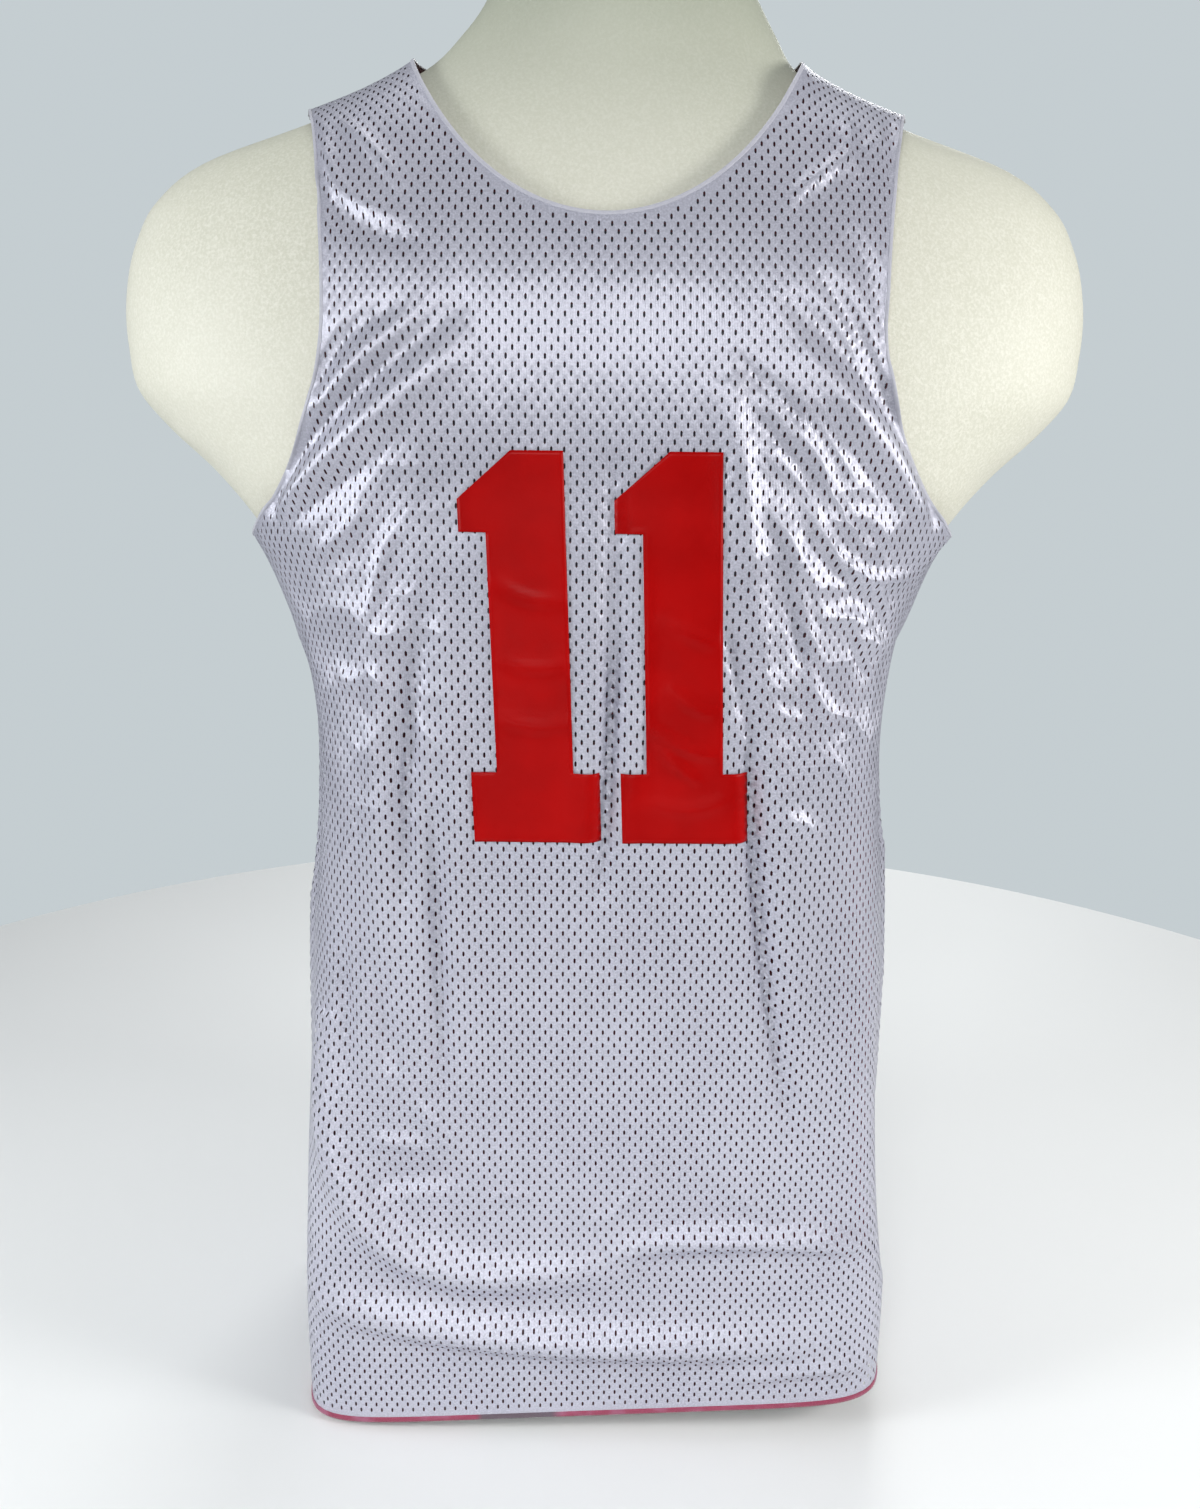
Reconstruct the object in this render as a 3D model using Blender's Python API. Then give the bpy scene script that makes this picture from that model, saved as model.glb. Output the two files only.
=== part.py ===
"""Basketball jersey on a torso form.

A reversible practice jersey, white mesh outside and red mesh inside, is worn by a limbless torso
form that stands on its flat base. Each piece of cloth is cut flat, as a maker would cut it, given
its thickness, and then laid on a guide surface that follows the shoulders and chest of the form
and hangs free below them. Metres, +Z up, the front faces -Y.
"""

from math import pi

import bmesh
import bpy
import numpy as np

# Garment sizes, adult large, laid flat: 22 in from pit to pit, and 8 in numerals.
HALF_CHEST = 0.28  # from the centre line to a side seam, on the front or on the back
PIT_LENGTH = 0.522  # hem to armhole, along a side seam
NUMERAL_HEIGHT = 0.203
NECK_HALF_WIDTH = 0.103  # at the high shoulder points
SHOULDER_TIP = 0.175  # centre line to the outer end of a shoulder seam, along the cloth
ARMHOLE_SCOOP = 0.120  # height of the round lower part of an armhole

WALL = 0.0010  # each layer of cloth
LAYER_GAP = 0.0005  # outer layer to inner layer
SEAM_GAP = 0.0003  # front to back
HEM_LOW = 0.0008  # hem above the base at the wearer's right side, where it is lowest
HEM_RISE = 0.0200  # how much higher the hem hangs at the wearer's left side
LEAN = 0.008  # how far the form's neck stands to the wearer's left
LEAN_FROM = 0.745
LEAN_TO = 0.80
LEVEL_FROM = 0.30  # above this the cloth hangs level again
LINING_HANG = 0.0040  # extra room between the layers, where the cloth hangs free
LINING_JOINS = (0.495, 0.12)  # the room closes below this height, over this length
PRINT_GAP = 0.0004  # numeral to the cloth behind it
EASE = 0.0045  # outer face of the jersey to the form, over the shoulders

# A section is two half superellipses that meet at the sides, one for the front, one for the back.
# Columns: height, half width, depth to the front, depth to the back, squareness (2 is an ellipse).
FORM_SECTIONS = (
    (0.000, 0.146, 0.086, 0.090, 2.4),
    (0.100, 0.150, 0.088, 0.092, 2.4),
    (0.200, 0.146, 0.084, 0.088, 2.4),
    (0.320, 0.134, 0.082, 0.082, 2.4),
    (0.430, 0.150, 0.096, 0.096, 2.3),
    (0.490, 0.176, 0.104, 0.106, 2.3),
    (0.530, 0.196, 0.108, 0.112, 2.3),
    (0.560, 0.221, 0.110, 0.114, 2.2),
    (0.583, 0.246, 0.110, 0.115, 2.1),
    (0.600, 0.260, 0.109, 0.115, 2.1),
    (0.625, 0.265, 0.106, 0.113, 2.1),
    (0.655, 0.264, 0.099, 0.108, 2.1),
    (0.680, 0.257, 0.090, 0.099, 2.1),
    (0.700, 0.245, 0.081, 0.090, 2.1),
    (0.720, 0.218, 0.072, 0.081, 2.0),
    (0.738, 0.166, 0.064, 0.074, 2.0),
    (0.752, 0.128, 0.058, 0.069, 2.0),
    (0.766, 0.101, 0.053, 0.065, 2.0),
    (0.785, 0.083, 0.050, 0.062, 2.0),
    (0.810, 0.067, 0.048, 0.060, 2.0),
    (0.835, 0.057, 0.047, 0.059, 2.0),
    (0.860, 0.055, 0.047, 0.059, 2.0),
)
HANGING_SECTIONS = (
    (0.000, 0.177, 0.118, 0.118, 9.0),
    (0.060, 0.177, 0.118, 0.118, 9.0),
    (0.160, 0.173, 0.116, 0.117, 8.0),
    (0.250, 0.168, 0.114, 0.115, 6.5),
    (0.310, 0.165, 0.113, 0.114, 5.5),
    (0.380, 0.162, 0.113, 0.114, 4.6),
    (0.440, 0.166, 0.114, 0.115, 3.6),
    (0.490, 0.180, 0.115, 0.117, 2.9),
    (0.525, 0.198, 0.116, 0.119, 2.5),
)
YOKE = HANGING_SECTIONS[-1][0]  # below it the cloth hangs, above it the cloth lies on the form
SHOULDER_TOP = 0.65  # above it the form's sections shrink, so the cloth over them also sits higher
WORN_SECTIONS = HANGING_SECTIONS + tuple(
    (
        height + (EASE if height > SHOULDER_TOP else 0),
        half_width + (EASE if height > SHOULDER_TOP else 2 * EASE),
        front + EASE,
        back + EASE,
        squareness,
    )
    for height, half_width, front, back, squareness in FORM_SECTIONS
    if height > YOKE + 0.02
)

# The largest folds of the front, each along a bent line from its start over its middle to its end.
# Columns: side, start u and v, middle u and v, end u and v, height, half width.
# Across the cloth, u runs from the centre line; v runs up from the hem.
FOLDS = (
    ("front", -0.120, 0.470, -0.128, 0.330, -0.105, 0.150, 0.0060, 0.016),
    ("front", 0.110, 0.450, 0.118, 0.330, 0.130, 0.170, 0.0060, 0.016),
    ("front", -0.170, 0.230, -0.140, 0.120, 0.010, 0.100, 0.0060, 0.014),
    ("front", -0.150, 0.080, 0.000, 0.050, 0.150, 0.065, 0.0060, 0.012),
    ("front", 0.070, 0.600, 0.110, 0.530, 0.165, 0.470, 0.0040, 0.014),
    ("front", -0.165, 0.560, -0.120, 0.600, -0.070, 0.640, 0.0030, 0.014),
    ("back", -0.110, 0.480, -0.100, 0.330, -0.118, 0.140, 0.0060, 0.016),
    ("back", 0.120, 0.460, 0.108, 0.300, 0.124, 0.160, 0.0060, 0.016),
    ("back", -0.140, 0.110, 0.000, 0.080, 0.140, 0.095, 0.0060, 0.014),
)

# Columns: side, depth of the neckline below the high shoulder points, centre line to the armhole's
# edge, and the neckline's shape: 0 is a half ellipse, 1 is a parabola.
PANELS = (
    ("front", 0.128, 0.146, 0.12),
    ("back", 0.062, 0.152, 0.00),
)

# Each numeral's centre line at its base, across from the jersey's centre line.
NUMERALS = (
    ("numeral_left", -0.0325),
    ("numeral_right", 0.0458),
)
NUMERAL_BASE = 0.3725  # above the hem, along the cloth
NUMERAL_LEAN = 2.0  # degrees
FOOT_HALF = 0.0335  # half width of the numeral's foot
FOOT_HEIGHT = 0.0385
STEM_HALF = 0.0200
FLAG_OUT = 0.0338  # centre line to the flag's tip
FLAG_TOP = 0.0240  # top of the numeral down to the tip's upper corner
FLAG_BOTTOM = 0.0402
TOP_LEFT = 0.0060  # centre line to the left end of the numeral's top

# The flat cloth is divided along these lines. Folds need close rows, and the inner layer has none.
SIDE_COLUMNS = np.array((0.030, 0.060, 0.090, 0.120, 0.142, 0.162, 0.182, 0.204, 0.235))
COLUMNS = np.concatenate([-SIDE_COLUMNS[::-1], [0], SIDE_COLUMNS])
HEM_ROWS = np.concatenate([np.arange(0.02, 0.20, 0.02), np.arange(0.215, 0.34, 0.035)])
PLAIN_ROWS = np.arange(0.06, 0.34, 0.07)
BODY_ROWS = np.concatenate([np.arange(0.36, 0.50, 0.03), np.arange(0.505, 0.66, 0.022)])
SHOULDER_ROWS = np.arange(0.675, 0.83, 0.015)

FORM_POINTS = 48  # round each section of the form
FORM_HEIGHTS = np.concatenate(
    [np.linspace(0, 0.48, 13), np.linspace(0.505, 0.555, 3), np.linspace(0.57, 0.85, 26)]
)
# The rounded edge of the form's flat neck. Columns: height, share of the last section's size.
NECK_EDGE = (
    (0.857, 0.975),
    (0.861, 0.930),
    (0.863, 0.860),
)
WHITE = (0.62, 0.62, 0.70, 1.0)
RED = (0.42, 0.01, 0.02, 1.0)
CREAM = (0.62, 0.64, 0.52, 1.0)


def at_heights(sections, heights):
    """Half width, front, back and squareness at any heights: a smooth curve through the table's rows."""
    rows = np.array(sections)
    z, values = rows[:, 0], rows[:, 1:]
    slopes = np.gradient(values, z, axis=0)
    row = np.clip(np.searchsorted(z, heights, side="right") - 1, 0, len(z) - 2)
    step = (z[row + 1] - z[row])[..., None]
    t = np.clip((heights - z[row])[..., None] / step, 0, 1)
    found = (
        (1 + 2 * t) * (1 - t) ** 2 * values[row]
        + t * (1 - t) ** 2 * step * slopes[row]
        + t**2 * (3 - 2 * t) * values[row + 1]
        + t**2 * (t - 1) * step * slopes[row + 1]
    )
    return np.moveaxis(found, -1, 0)


def section_value(x, y, heights):
    """1 on the worn surface, more outside it: |x / half width|^n + |y / depth|^n."""
    half_width, front, back, power = at_heights(WORN_SECTIONS, heights)
    depth = np.where(y < 0, front, back)
    return np.abs(x / half_width) ** power + np.abs(y / depth) ** power


def outward(points):
    """The unit normals of the worn surface, as the slope of its section value."""
    x, y, z = points.T
    step = 1e-4
    half_width, front, back, power = at_heights(WORN_SECTIONS, z)
    depth = np.where(y < 0, front, back)
    slope = np.stack(
        [
            np.sign(x) * power * np.abs(x) ** (power - 1) / half_width**power,
            np.sign(y) * power * np.abs(y) ** (power - 1) / depth**power,
            (section_value(x, y, z + step) - section_value(x, y, z - step)) / (2 * step),
        ],
        axis=1,
    )
    return slope / np.linalg.norm(slope, axis=1)[:, None]


def run_of(*coordinates):
    """The length along a line of points, from 0 at its start."""
    steps = np.sqrt(sum(np.diff(c, axis=-1) ** 2 for c in coordinates))
    start = np.zeros(steps.shape[:-1] + (1,))
    return np.concatenate([start, np.cumsum(steps, axis=-1)], axis=-1)


class WornSide:
    """The front or the back of the guide surface, as a table from the flat cloth to its place.

    Below the yoke a point keeps its height, and its distance from the centre line is measured
    round the section. Above the yoke each upright thread keeps its x, climbs the chest or the back,
    and ends at the crest of the shoulder, where y is 0.
    """

    ACROSS = np.linspace(0, HALF_CHEST, 141)
    UP = np.arange(0, 0.90, 0.004)
    SLACK_FROM = 0.10  # nearer the centre line than this the cloth lies without slack

    def __init__(self, side):
        self.side = side
        self.sign = -1 if side == "front" else 1
        hanging = [self.section_by_length(z) for z in self.UP[self.UP < YOKE]]
        x_yoke, _ = self.section_by_length(YOKE)
        x = [row[0] for row in hanging]
        y = [row[1] for row in hanging]
        z = [np.full_like(self.ACROSS, z) for z in self.UP[self.UP < YOKE]]
        thread_y, thread_z, run = self.threads(x_yoke)
        for v in self.UP[self.UP >= YOKE]:
            x.append(x_yoke)
            y.append([np.interp(v - YOKE, r, t) for r, t in zip(run, thread_y)])
            z.append([np.interp(v - YOKE, r, t) for r, t in zip(run, thread_z)])
        self.table = np.stack([np.array(x), np.array(y), np.array(z)], axis=-1)
        self.crest = YOKE + run[:, -1]

    def depth(self, heights):
        half_width, front, back, power = at_heights(WORN_SECTIONS, heights)
        return half_width, (front if self.side == "front" else back), power

    def section_by_length(self, height):
        """x and y where each thread crosses one section. The slack is spread beyond SLACK_FROM."""
        half_width, depth, power = self.depth(np.array(height))
        angle = np.linspace(0, pi / 2, 241)
        x = half_width * np.sin(angle) ** (2 / power)
        y = self.sign * depth * np.cos(angle) ** (2 / power)
        run = run_of(x, y)
        # The cloth is wider than the section, so each thread is drawn in by its share of the slack.
        t = np.clip((self.ACROSS - self.SLACK_FROM) / (HALF_CHEST - self.SLACK_FROM), 0, 1)
        along = self.ACROSS - (HALF_CHEST - run[-1]) * t**2 * (3 - 2 * t)
        return np.interp(along, run, x), np.interp(along, run, y)

    def threads(self, x_yoke):
        """y and z up each thread from the yoke to the crest, closer together near the crest."""
        heights = np.linspace(0.86, 0.68, 400)
        crest = np.interp(x_yoke, self.depth(heights)[0], heights)[:, None]
        to_crest = 1 - np.linspace(0, 1, 200)
        z = crest - (crest - YOKE) * to_crest**2
        half_width, depth, power = self.depth(z)
        inside = np.clip(1 - (x_yoke[:, None] / half_width) ** power, 0, 1)
        y = self.sign * depth * inside ** (1 / power)
        return y, z, run_of(y, z)

    def crest_at(self, u):
        """The length of cloth from the hem to the shoulder seam."""
        return np.interp(np.abs(u), self.ACROSS, self.crest)

    def place(self, u, v, lift):
        """Flat points (u, v), lifted off the guide surface, as worn points. u runs to the viewer's right."""
        column = np.abs(u) / HALF_CHEST * (len(self.ACROSS) - 1)
        row = np.clip(v, 0, self.UP[-1]) / (self.UP[1] - self.UP[0])
        i = np.clip(row.astype(int), 0, len(self.UP) - 2)
        j = np.clip(column.astype(int), 0, len(self.ACROSS) - 2)
        s, t = (row - i)[:, None], (column - j)[:, None]
        points = (
            (1 - s) * (1 - t) * self.table[i, j]
            + (1 - s) * t * self.table[i, j + 1]
            + s * (1 - t) * self.table[i + 1, j]
            + s * t * self.table[i + 1, j + 1]
        )
        points[:, 0] *= np.sign(u) * -self.sign
        points = points + outward(points) * lift[:, None]
        hem = HEM_LOW + HEM_RISE * (0.5 + 0.5 * points[:, 0] / HANGING_SECTIONS[0][1])
        points[:, 2] += hem * np.clip(1 - v / LEVEL_FROM, 0, 1)
        return points


def fold_height(side, u, v):
    """How far the folds lift the cloth: a bell across each fold's line, fading towards its ends."""
    lift = np.zeros_like(u)
    t = np.linspace(0, 1, 33)
    for where, u0, v0, u1, v1, u2, v2, height, half_width in FOLDS:
        if where != side:
            continue
        line_u = (1 - t) ** 2 * u0 + 2 * t * (1 - t) * u1 + t**2 * u2
        line_v = (1 - t) ** 2 * v0 + 2 * t * (1 - t) * v1 + t**2 * v2
        apart = np.hypot(u[:, None] - line_u, v[:, None] - line_v)
        nearest = apart.argmin(axis=1)
        ridge = height * np.sin(pi * t[nearest]) ** 0.7
        lift += ridge * np.exp(-((apart.min(axis=1) / half_width) ** 2))
    return lift


def arc(count):
    return np.linspace(0, pi / 2, count)


def panel_outline(worn, neck_drop, armhole_in, neck_pointed):
    """The flat outline of a front or a back, counterclockwise from the middle of its hem.

    The armhole is a quarter ellipse from the side seam, then runs up and slightly outwards to the
    shoulder tip. The neckline lies between a half ellipse and a parabola, neck_pointed of the way.
    """
    pit = np.array([[HALF_CHEST - SEAM_GAP / 2, 0], [HALF_CHEST - SEAM_GAP / 2, PIT_LENGTH]])
    scoop = arc(9)[1:]
    armhole_out = HALF_CHEST - SEAM_GAP / 2
    round_part = np.stack(
        [
            armhole_in + (armhole_out - armhole_in) * (1 - np.sin(scoop)),
            PIT_LENGTH + ARMHOLE_SCOOP * (1 - np.cos(scoop)),
        ],
        axis=1,
    )
    rise = np.linspace(0, 1, 8)[1:]
    tip_v = worn.crest_at(SHOULDER_TIP) - SEAM_GAP / 2
    straight_part = np.stack(
        [
            armhole_in + (SHOULDER_TIP - armhole_in) * rise**2,
            PIT_LENGTH + ARMHOLE_SCOOP + (tip_v - PIT_LENGTH - ARMHOLE_SCOOP) * rise,
        ],
        axis=1,
    )
    along = np.linspace(SHOULDER_TIP, NECK_HALF_WIDTH, 5)[1:]
    shoulder = np.stack([along, worn.crest_at(along) - SEAM_GAP / 2], axis=1)
    across = np.cos(arc(10)[1:])
    height = neck_pointed * across**2 + (1 - neck_pointed) * (1 - np.sqrt(1 - across**2))
    high = shoulder[-1, 1]
    neck = np.stack([NECK_HALF_WIDTH * across, high - neck_drop * (1 - height)], axis=1)
    half = np.concatenate([[[0.0, 0.0]], pit, round_part, straight_part, shoulder, neck])
    mirrored = half[1:-1][::-1] * (-1, 1)
    return np.concatenate([half, mirrored])


def cut_flat(outline, columns, rows):
    """A flat piece with this outline, divided along the given columns and rows."""
    bm = bmesh.new()
    bm.faces.new([bm.verts.new((u, v, 0)) for u, v in outline])
    cuts = [((u, 0, 0), (1, 0, 0)) for u in columns] + [((0, v, 0), (0, 1, 0)) for v in rows]
    for place, normal in cuts:
        geometry = bm.verts[:] + bm.edges[:] + bm.faces[:]
        bmesh.ops.bisect_plane(bm, geom=geometry, dist=2e-5, plane_co=place, plane_no=normal)
    many_sided = [face for face in bm.faces if len(face.verts) > 4]
    bmesh.ops.triangulate(bm, faces=many_sided)
    return bm


def sew(name, worn, bm, inner_lift, outer_lift, folded, material, collection):
    """Gives a flat piece its thickness and lays it on the guide surface, as an object."""
    made = bmesh.ops.extrude_face_region(bm, geom=bm.faces[:], use_keep_orig=True)
    for vertex in made["geom"]:
        if isinstance(vertex, bmesh.types.BMVert):
            vertex.co.z = 1
    bmesh.ops.recalc_face_normals(bm, faces=bm.faces)
    mesh = bpy.data.meshes.new(name)
    bm.to_mesh(mesh)
    bm.free()
    flat = np.empty(len(mesh.vertices) * 3)
    mesh.vertices.foreach_get("co", flat)
    u, v, layer = flat.reshape(-1, 3).T
    inner = inner_lift(v)
    lift = inner + (outer_lift(v) - inner) * layer
    if folded:
        lift = lift + fold_height(worn.side, u, v)
    mesh.vertices.foreach_set("co", worn.place(u, v, lift).ravel())
    mesh.materials.append(material)
    mesh.update()
    collection.objects.link(bpy.data.objects.new(name, mesh))


def numeral_one(centre_u):
    """The flat outline of a block numeral 1, leaning a little: a slab foot, a stem and a cut-off flag."""
    top = NUMERAL_HEIGHT
    outline = np.array(
        [
            (-FOOT_HALF, 0),
            (FOOT_HALF, 0),
            (FOOT_HALF, FOOT_HEIGHT),
            (STEM_HALF, FOOT_HEIGHT),
            (STEM_HALF, top),
            (-TOP_LEFT, top),
            (-FLAG_OUT, top - FLAG_TOP),
            (-FLAG_OUT, top - FLAG_BOTTOM),
            (-STEM_HALF, top - FLAG_BOTTOM),
            (-STEM_HALF, FOOT_HEIGHT),
            (-FOOT_HALF, FOOT_HEIGHT),
        ]
    )
    outline[:, 0] += centre_u - np.tan(np.radians(NUMERAL_LEAN)) * outline[:, 1]
    outline[:, 1] += NUMERAL_BASE
    return outline


def neck_lean(heights):
    """How far the form's sections stand to the side: nothing below LEAN_FROM, all of LEAN above LEAN_TO."""
    t = np.clip((heights - LEAN_FROM) / (LEAN_TO - LEAN_FROM), 0, 1)
    return LEAN * t**2 * (3 - 2 * t)


def make_form(material, collection):
    """The torso form: sections stacked from the flat base to a flat neck with a rounded edge."""
    edge_heights, edge_shares = np.array(NECK_EDGE).T
    heights = np.concatenate([FORM_HEIGHTS, edge_heights])
    share = np.concatenate([np.ones_like(FORM_HEIGHTS), edge_shares])
    half_width, front, back, power = at_heights(FORM_SECTIONS, heights)
    angle = np.arange(FORM_POINTS) * 2 * pi / FORM_POINTS
    sine, cosine = np.sin(angle), np.cos(angle)
    size = (np.abs(sine) ** power[:, None] + np.abs(cosine) ** power[:, None]) ** (1 / power[:, None])
    depth = np.where(cosine > 0, front[:, None], back[:, None])
    x = share[:, None] * half_width[:, None] * sine / size
    y = -share[:, None] * depth * cosine / size
    z = np.repeat(heights[:, None], FORM_POINTS, axis=1)
    points = np.stack([x + neck_lean(z), y, z], axis=-1)
    bm = bmesh.new()
    rings = [[bm.verts.new(point) for point in ring] for ring in points]
    for low, high in zip(rings, rings[1:]):
        for i in range(FORM_POINTS):
            k = (i + 1) % FORM_POINTS
            bm.faces.new((low[i], low[k], high[k], high[i]))
    bm.faces.new(rings[0])
    bm.faces.new(rings[-1])
    bmesh.ops.recalc_face_normals(bm, faces=bm.faces)
    mesh = bpy.data.meshes.new("torso_form")
    bm.to_mesh(mesh)
    bm.free()
    mesh.materials.append(material)
    mesh.shade_smooth()
    mesh.set_sharp_from_angle(angle=pi / 6)
    collection.objects.link(bpy.data.objects.new("torso_form", mesh))


def make_material(name, colour, roughness):
    material = bpy.data.materials.new(name)
    material.use_nodes = True
    shader = material.node_tree.nodes["Principled BSDF"]
    shader.inputs["Base Color"].default_value = colour
    shader.inputs["Roughness"].default_value = roughness
    material.diffuse_color = colour
    return material


def outer_face(v):
    """The outer layer's outer face is the guide surface itself."""
    return np.zeros_like(v)


def outer_back(v):
    return outer_face(v) - WALL


def lining_face(v):
    """The inner layer lies close behind the outer one, and a little deeper where both hang free."""
    joins, length = LINING_JOINS
    t = np.clip((joins - v) / length, 0, 1)
    return outer_back(v) - LAYER_GAP - LINING_HANG * t**2 * (3 - 2 * t)


def lining_back(v):
    return lining_face(v) - WALL


def print_back(v):
    return outer_face(v) + PRINT_GAP


def print_face(v):
    return print_back(v) + WALL


def make_jersey(collection):
    white = make_material("white_mesh", WHITE, 0.6)
    red = make_material("red_mesh", RED, 0.7)
    print_red = make_material("numeral_print", RED, 0.45)
    folded_rows = np.concatenate([HEM_ROWS, BODY_ROWS, SHOULDER_ROWS])
    plain_rows = np.concatenate([PLAIN_ROWS, BODY_ROWS, SHOULDER_ROWS])
    for side, neck_drop, armhole_in, neck_pointed in PANELS:
        worn = WornSide(side)
        outline = panel_outline(worn, neck_drop, armhole_in, neck_pointed)
        outer = cut_flat(outline, COLUMNS, folded_rows)
        sew(side + "_outer", worn, outer, outer_back, outer_face, True, white, collection)
        inner = cut_flat(outline, COLUMNS, plain_rows)
        sew(side + "_inner", worn, inner, lining_back, lining_face, False, red, collection)
    worn = WornSide("front")
    for name, centre_u in NUMERALS:
        numeral = cut_flat(numeral_one(centre_u), COLUMNS, folded_rows)
        sew(name, worn, numeral, print_back, print_face, True, print_red, collection)


def main():
    for thing in list(bpy.data.objects):
        bpy.data.objects.remove(thing)
    collection = bpy.data.collections.new("basketball_jersey_on_torso_form")
    bpy.context.scene.collection.children.link(collection)
    make_form(make_material("form_cream", CREAM, 0.55), collection)
    make_jersey(collection)


main()
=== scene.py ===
"""Basketball jersey on a torso form: its cloth, print, edges and lights.

The jersey is a reversible practice jersey with two layers of mesh, white outside and red inside. Each
layer of a front or a back is cut flat, in coordinates u (across, from the centre line) and v (up from
the hem), and laid on the same guide surface as the CAD solids: it follows the shoulders and the chest
of the form and hangs free below them. Creases lift or sink it along listed lines. Metres, +Z up,
and the front faces -Y.
"""

from math import pi, radians

import bmesh
import bpy
import numpy as np
from mathutils import Matrix, Vector


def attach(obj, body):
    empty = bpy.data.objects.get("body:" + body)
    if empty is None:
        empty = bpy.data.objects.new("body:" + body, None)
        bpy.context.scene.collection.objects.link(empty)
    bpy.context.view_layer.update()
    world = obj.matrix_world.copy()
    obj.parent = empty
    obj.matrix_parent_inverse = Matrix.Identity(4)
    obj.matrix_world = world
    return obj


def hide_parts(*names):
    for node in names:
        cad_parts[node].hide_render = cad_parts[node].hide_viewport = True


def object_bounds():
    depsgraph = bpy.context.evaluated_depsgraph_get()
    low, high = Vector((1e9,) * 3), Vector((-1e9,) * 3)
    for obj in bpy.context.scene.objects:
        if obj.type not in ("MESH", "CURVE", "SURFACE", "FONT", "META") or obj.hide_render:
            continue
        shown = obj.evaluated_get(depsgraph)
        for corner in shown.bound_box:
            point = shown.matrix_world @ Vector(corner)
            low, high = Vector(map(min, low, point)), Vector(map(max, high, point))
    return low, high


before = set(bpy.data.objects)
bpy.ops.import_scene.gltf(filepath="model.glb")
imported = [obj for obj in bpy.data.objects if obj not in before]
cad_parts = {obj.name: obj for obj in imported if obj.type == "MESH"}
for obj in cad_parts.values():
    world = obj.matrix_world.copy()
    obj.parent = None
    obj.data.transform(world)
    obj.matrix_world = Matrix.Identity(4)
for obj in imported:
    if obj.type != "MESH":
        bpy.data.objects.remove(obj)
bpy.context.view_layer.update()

# -------------------- sizes of the cut, as in the CAD

HALF_CHEST = 0.28
PIT_LENGTH = 0.522
NECK_HALF_WIDTH = 0.103
SHOULDER_TIP = 0.175
ARMHOLE_SCOOP = 0.120
HEM_LOW = 0.0008
HEM_RISE = 0.0200
LEVEL_FROM = 0.30
LEAN = 0.008
LEAN_FROM = 0.745
LEAN_TO = 0.80
EASE = 0.0045
LAYER_DROP = 0.0016  # outer layer to inner layer
LINING_HANG = 0.0040
LINING_JOINS = (0.495, 0.12)

# Columns: height, half width, depth to the front, depth to the back, squareness (2 is an ellipse).
FORM_SECTIONS = (
    (0.000, 0.146, 0.086, 0.090, 2.4),
    (0.100, 0.150, 0.088, 0.092, 2.4),
    (0.200, 0.146, 0.084, 0.088, 2.4),
    (0.320, 0.134, 0.082, 0.082, 2.4),
    (0.430, 0.150, 0.096, 0.096, 2.3),
    (0.490, 0.176, 0.104, 0.106, 2.3),
    (0.530, 0.196, 0.108, 0.112, 2.3),
    (0.560, 0.221, 0.110, 0.114, 2.2),
    (0.583, 0.246, 0.110, 0.115, 2.1),
    (0.600, 0.260, 0.109, 0.115, 2.1),
    (0.625, 0.265, 0.106, 0.113, 2.1),
    (0.655, 0.264, 0.099, 0.108, 2.1),
    (0.680, 0.257, 0.090, 0.099, 2.1),
    (0.700, 0.245, 0.081, 0.090, 2.1),
    (0.720, 0.218, 0.072, 0.081, 2.0),
    (0.738, 0.166, 0.064, 0.074, 2.0),
    (0.752, 0.128, 0.058, 0.069, 2.0),
    (0.766, 0.101, 0.053, 0.065, 2.0),
    (0.785, 0.083, 0.050, 0.062, 2.0),
    (0.810, 0.067, 0.048, 0.060, 2.0),
    (0.835, 0.057, 0.047, 0.059, 2.0),
    (0.860, 0.055, 0.047, 0.059, 2.0),
)
HANGING_SECTIONS = (
    (0.000, 0.177, 0.118, 0.118, 9.0),
    (0.060, 0.177, 0.118, 0.118, 9.0),
    (0.160, 0.173, 0.116, 0.117, 8.0),
    (0.250, 0.168, 0.114, 0.115, 6.5),
    (0.310, 0.165, 0.113, 0.114, 5.5),
    (0.380, 0.162, 0.113, 0.114, 4.6),
    (0.440, 0.166, 0.114, 0.115, 3.6),
    (0.490, 0.180, 0.115, 0.117, 2.9),
    (0.525, 0.198, 0.116, 0.119, 2.5),
)
YOKE = HANGING_SECTIONS[-1][0]
SHOULDER_TOP = 0.65
WORN_SECTIONS = HANGING_SECTIONS + tuple(
    (
        height + (EASE if height > SHOULDER_TOP else 0),
        half_width + (EASE if height > SHOULDER_TOP else 2 * EASE),
        front + EASE,
        back + EASE,
        squareness,
    )
    for height, half_width, front, back, squareness in FORM_SECTIONS
    if height > YOKE + 0.02
)

# Columns: side, depth of the neckline, centre line to the armhole's edge, 0 for a half ellipse and 1
# for a parabola as the neckline.
PANELS = {
    "front": (0.128, 0.146, 0.12),
    "back": (0.062, 0.152, 0.00),
}

# -------------------- creases

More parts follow.
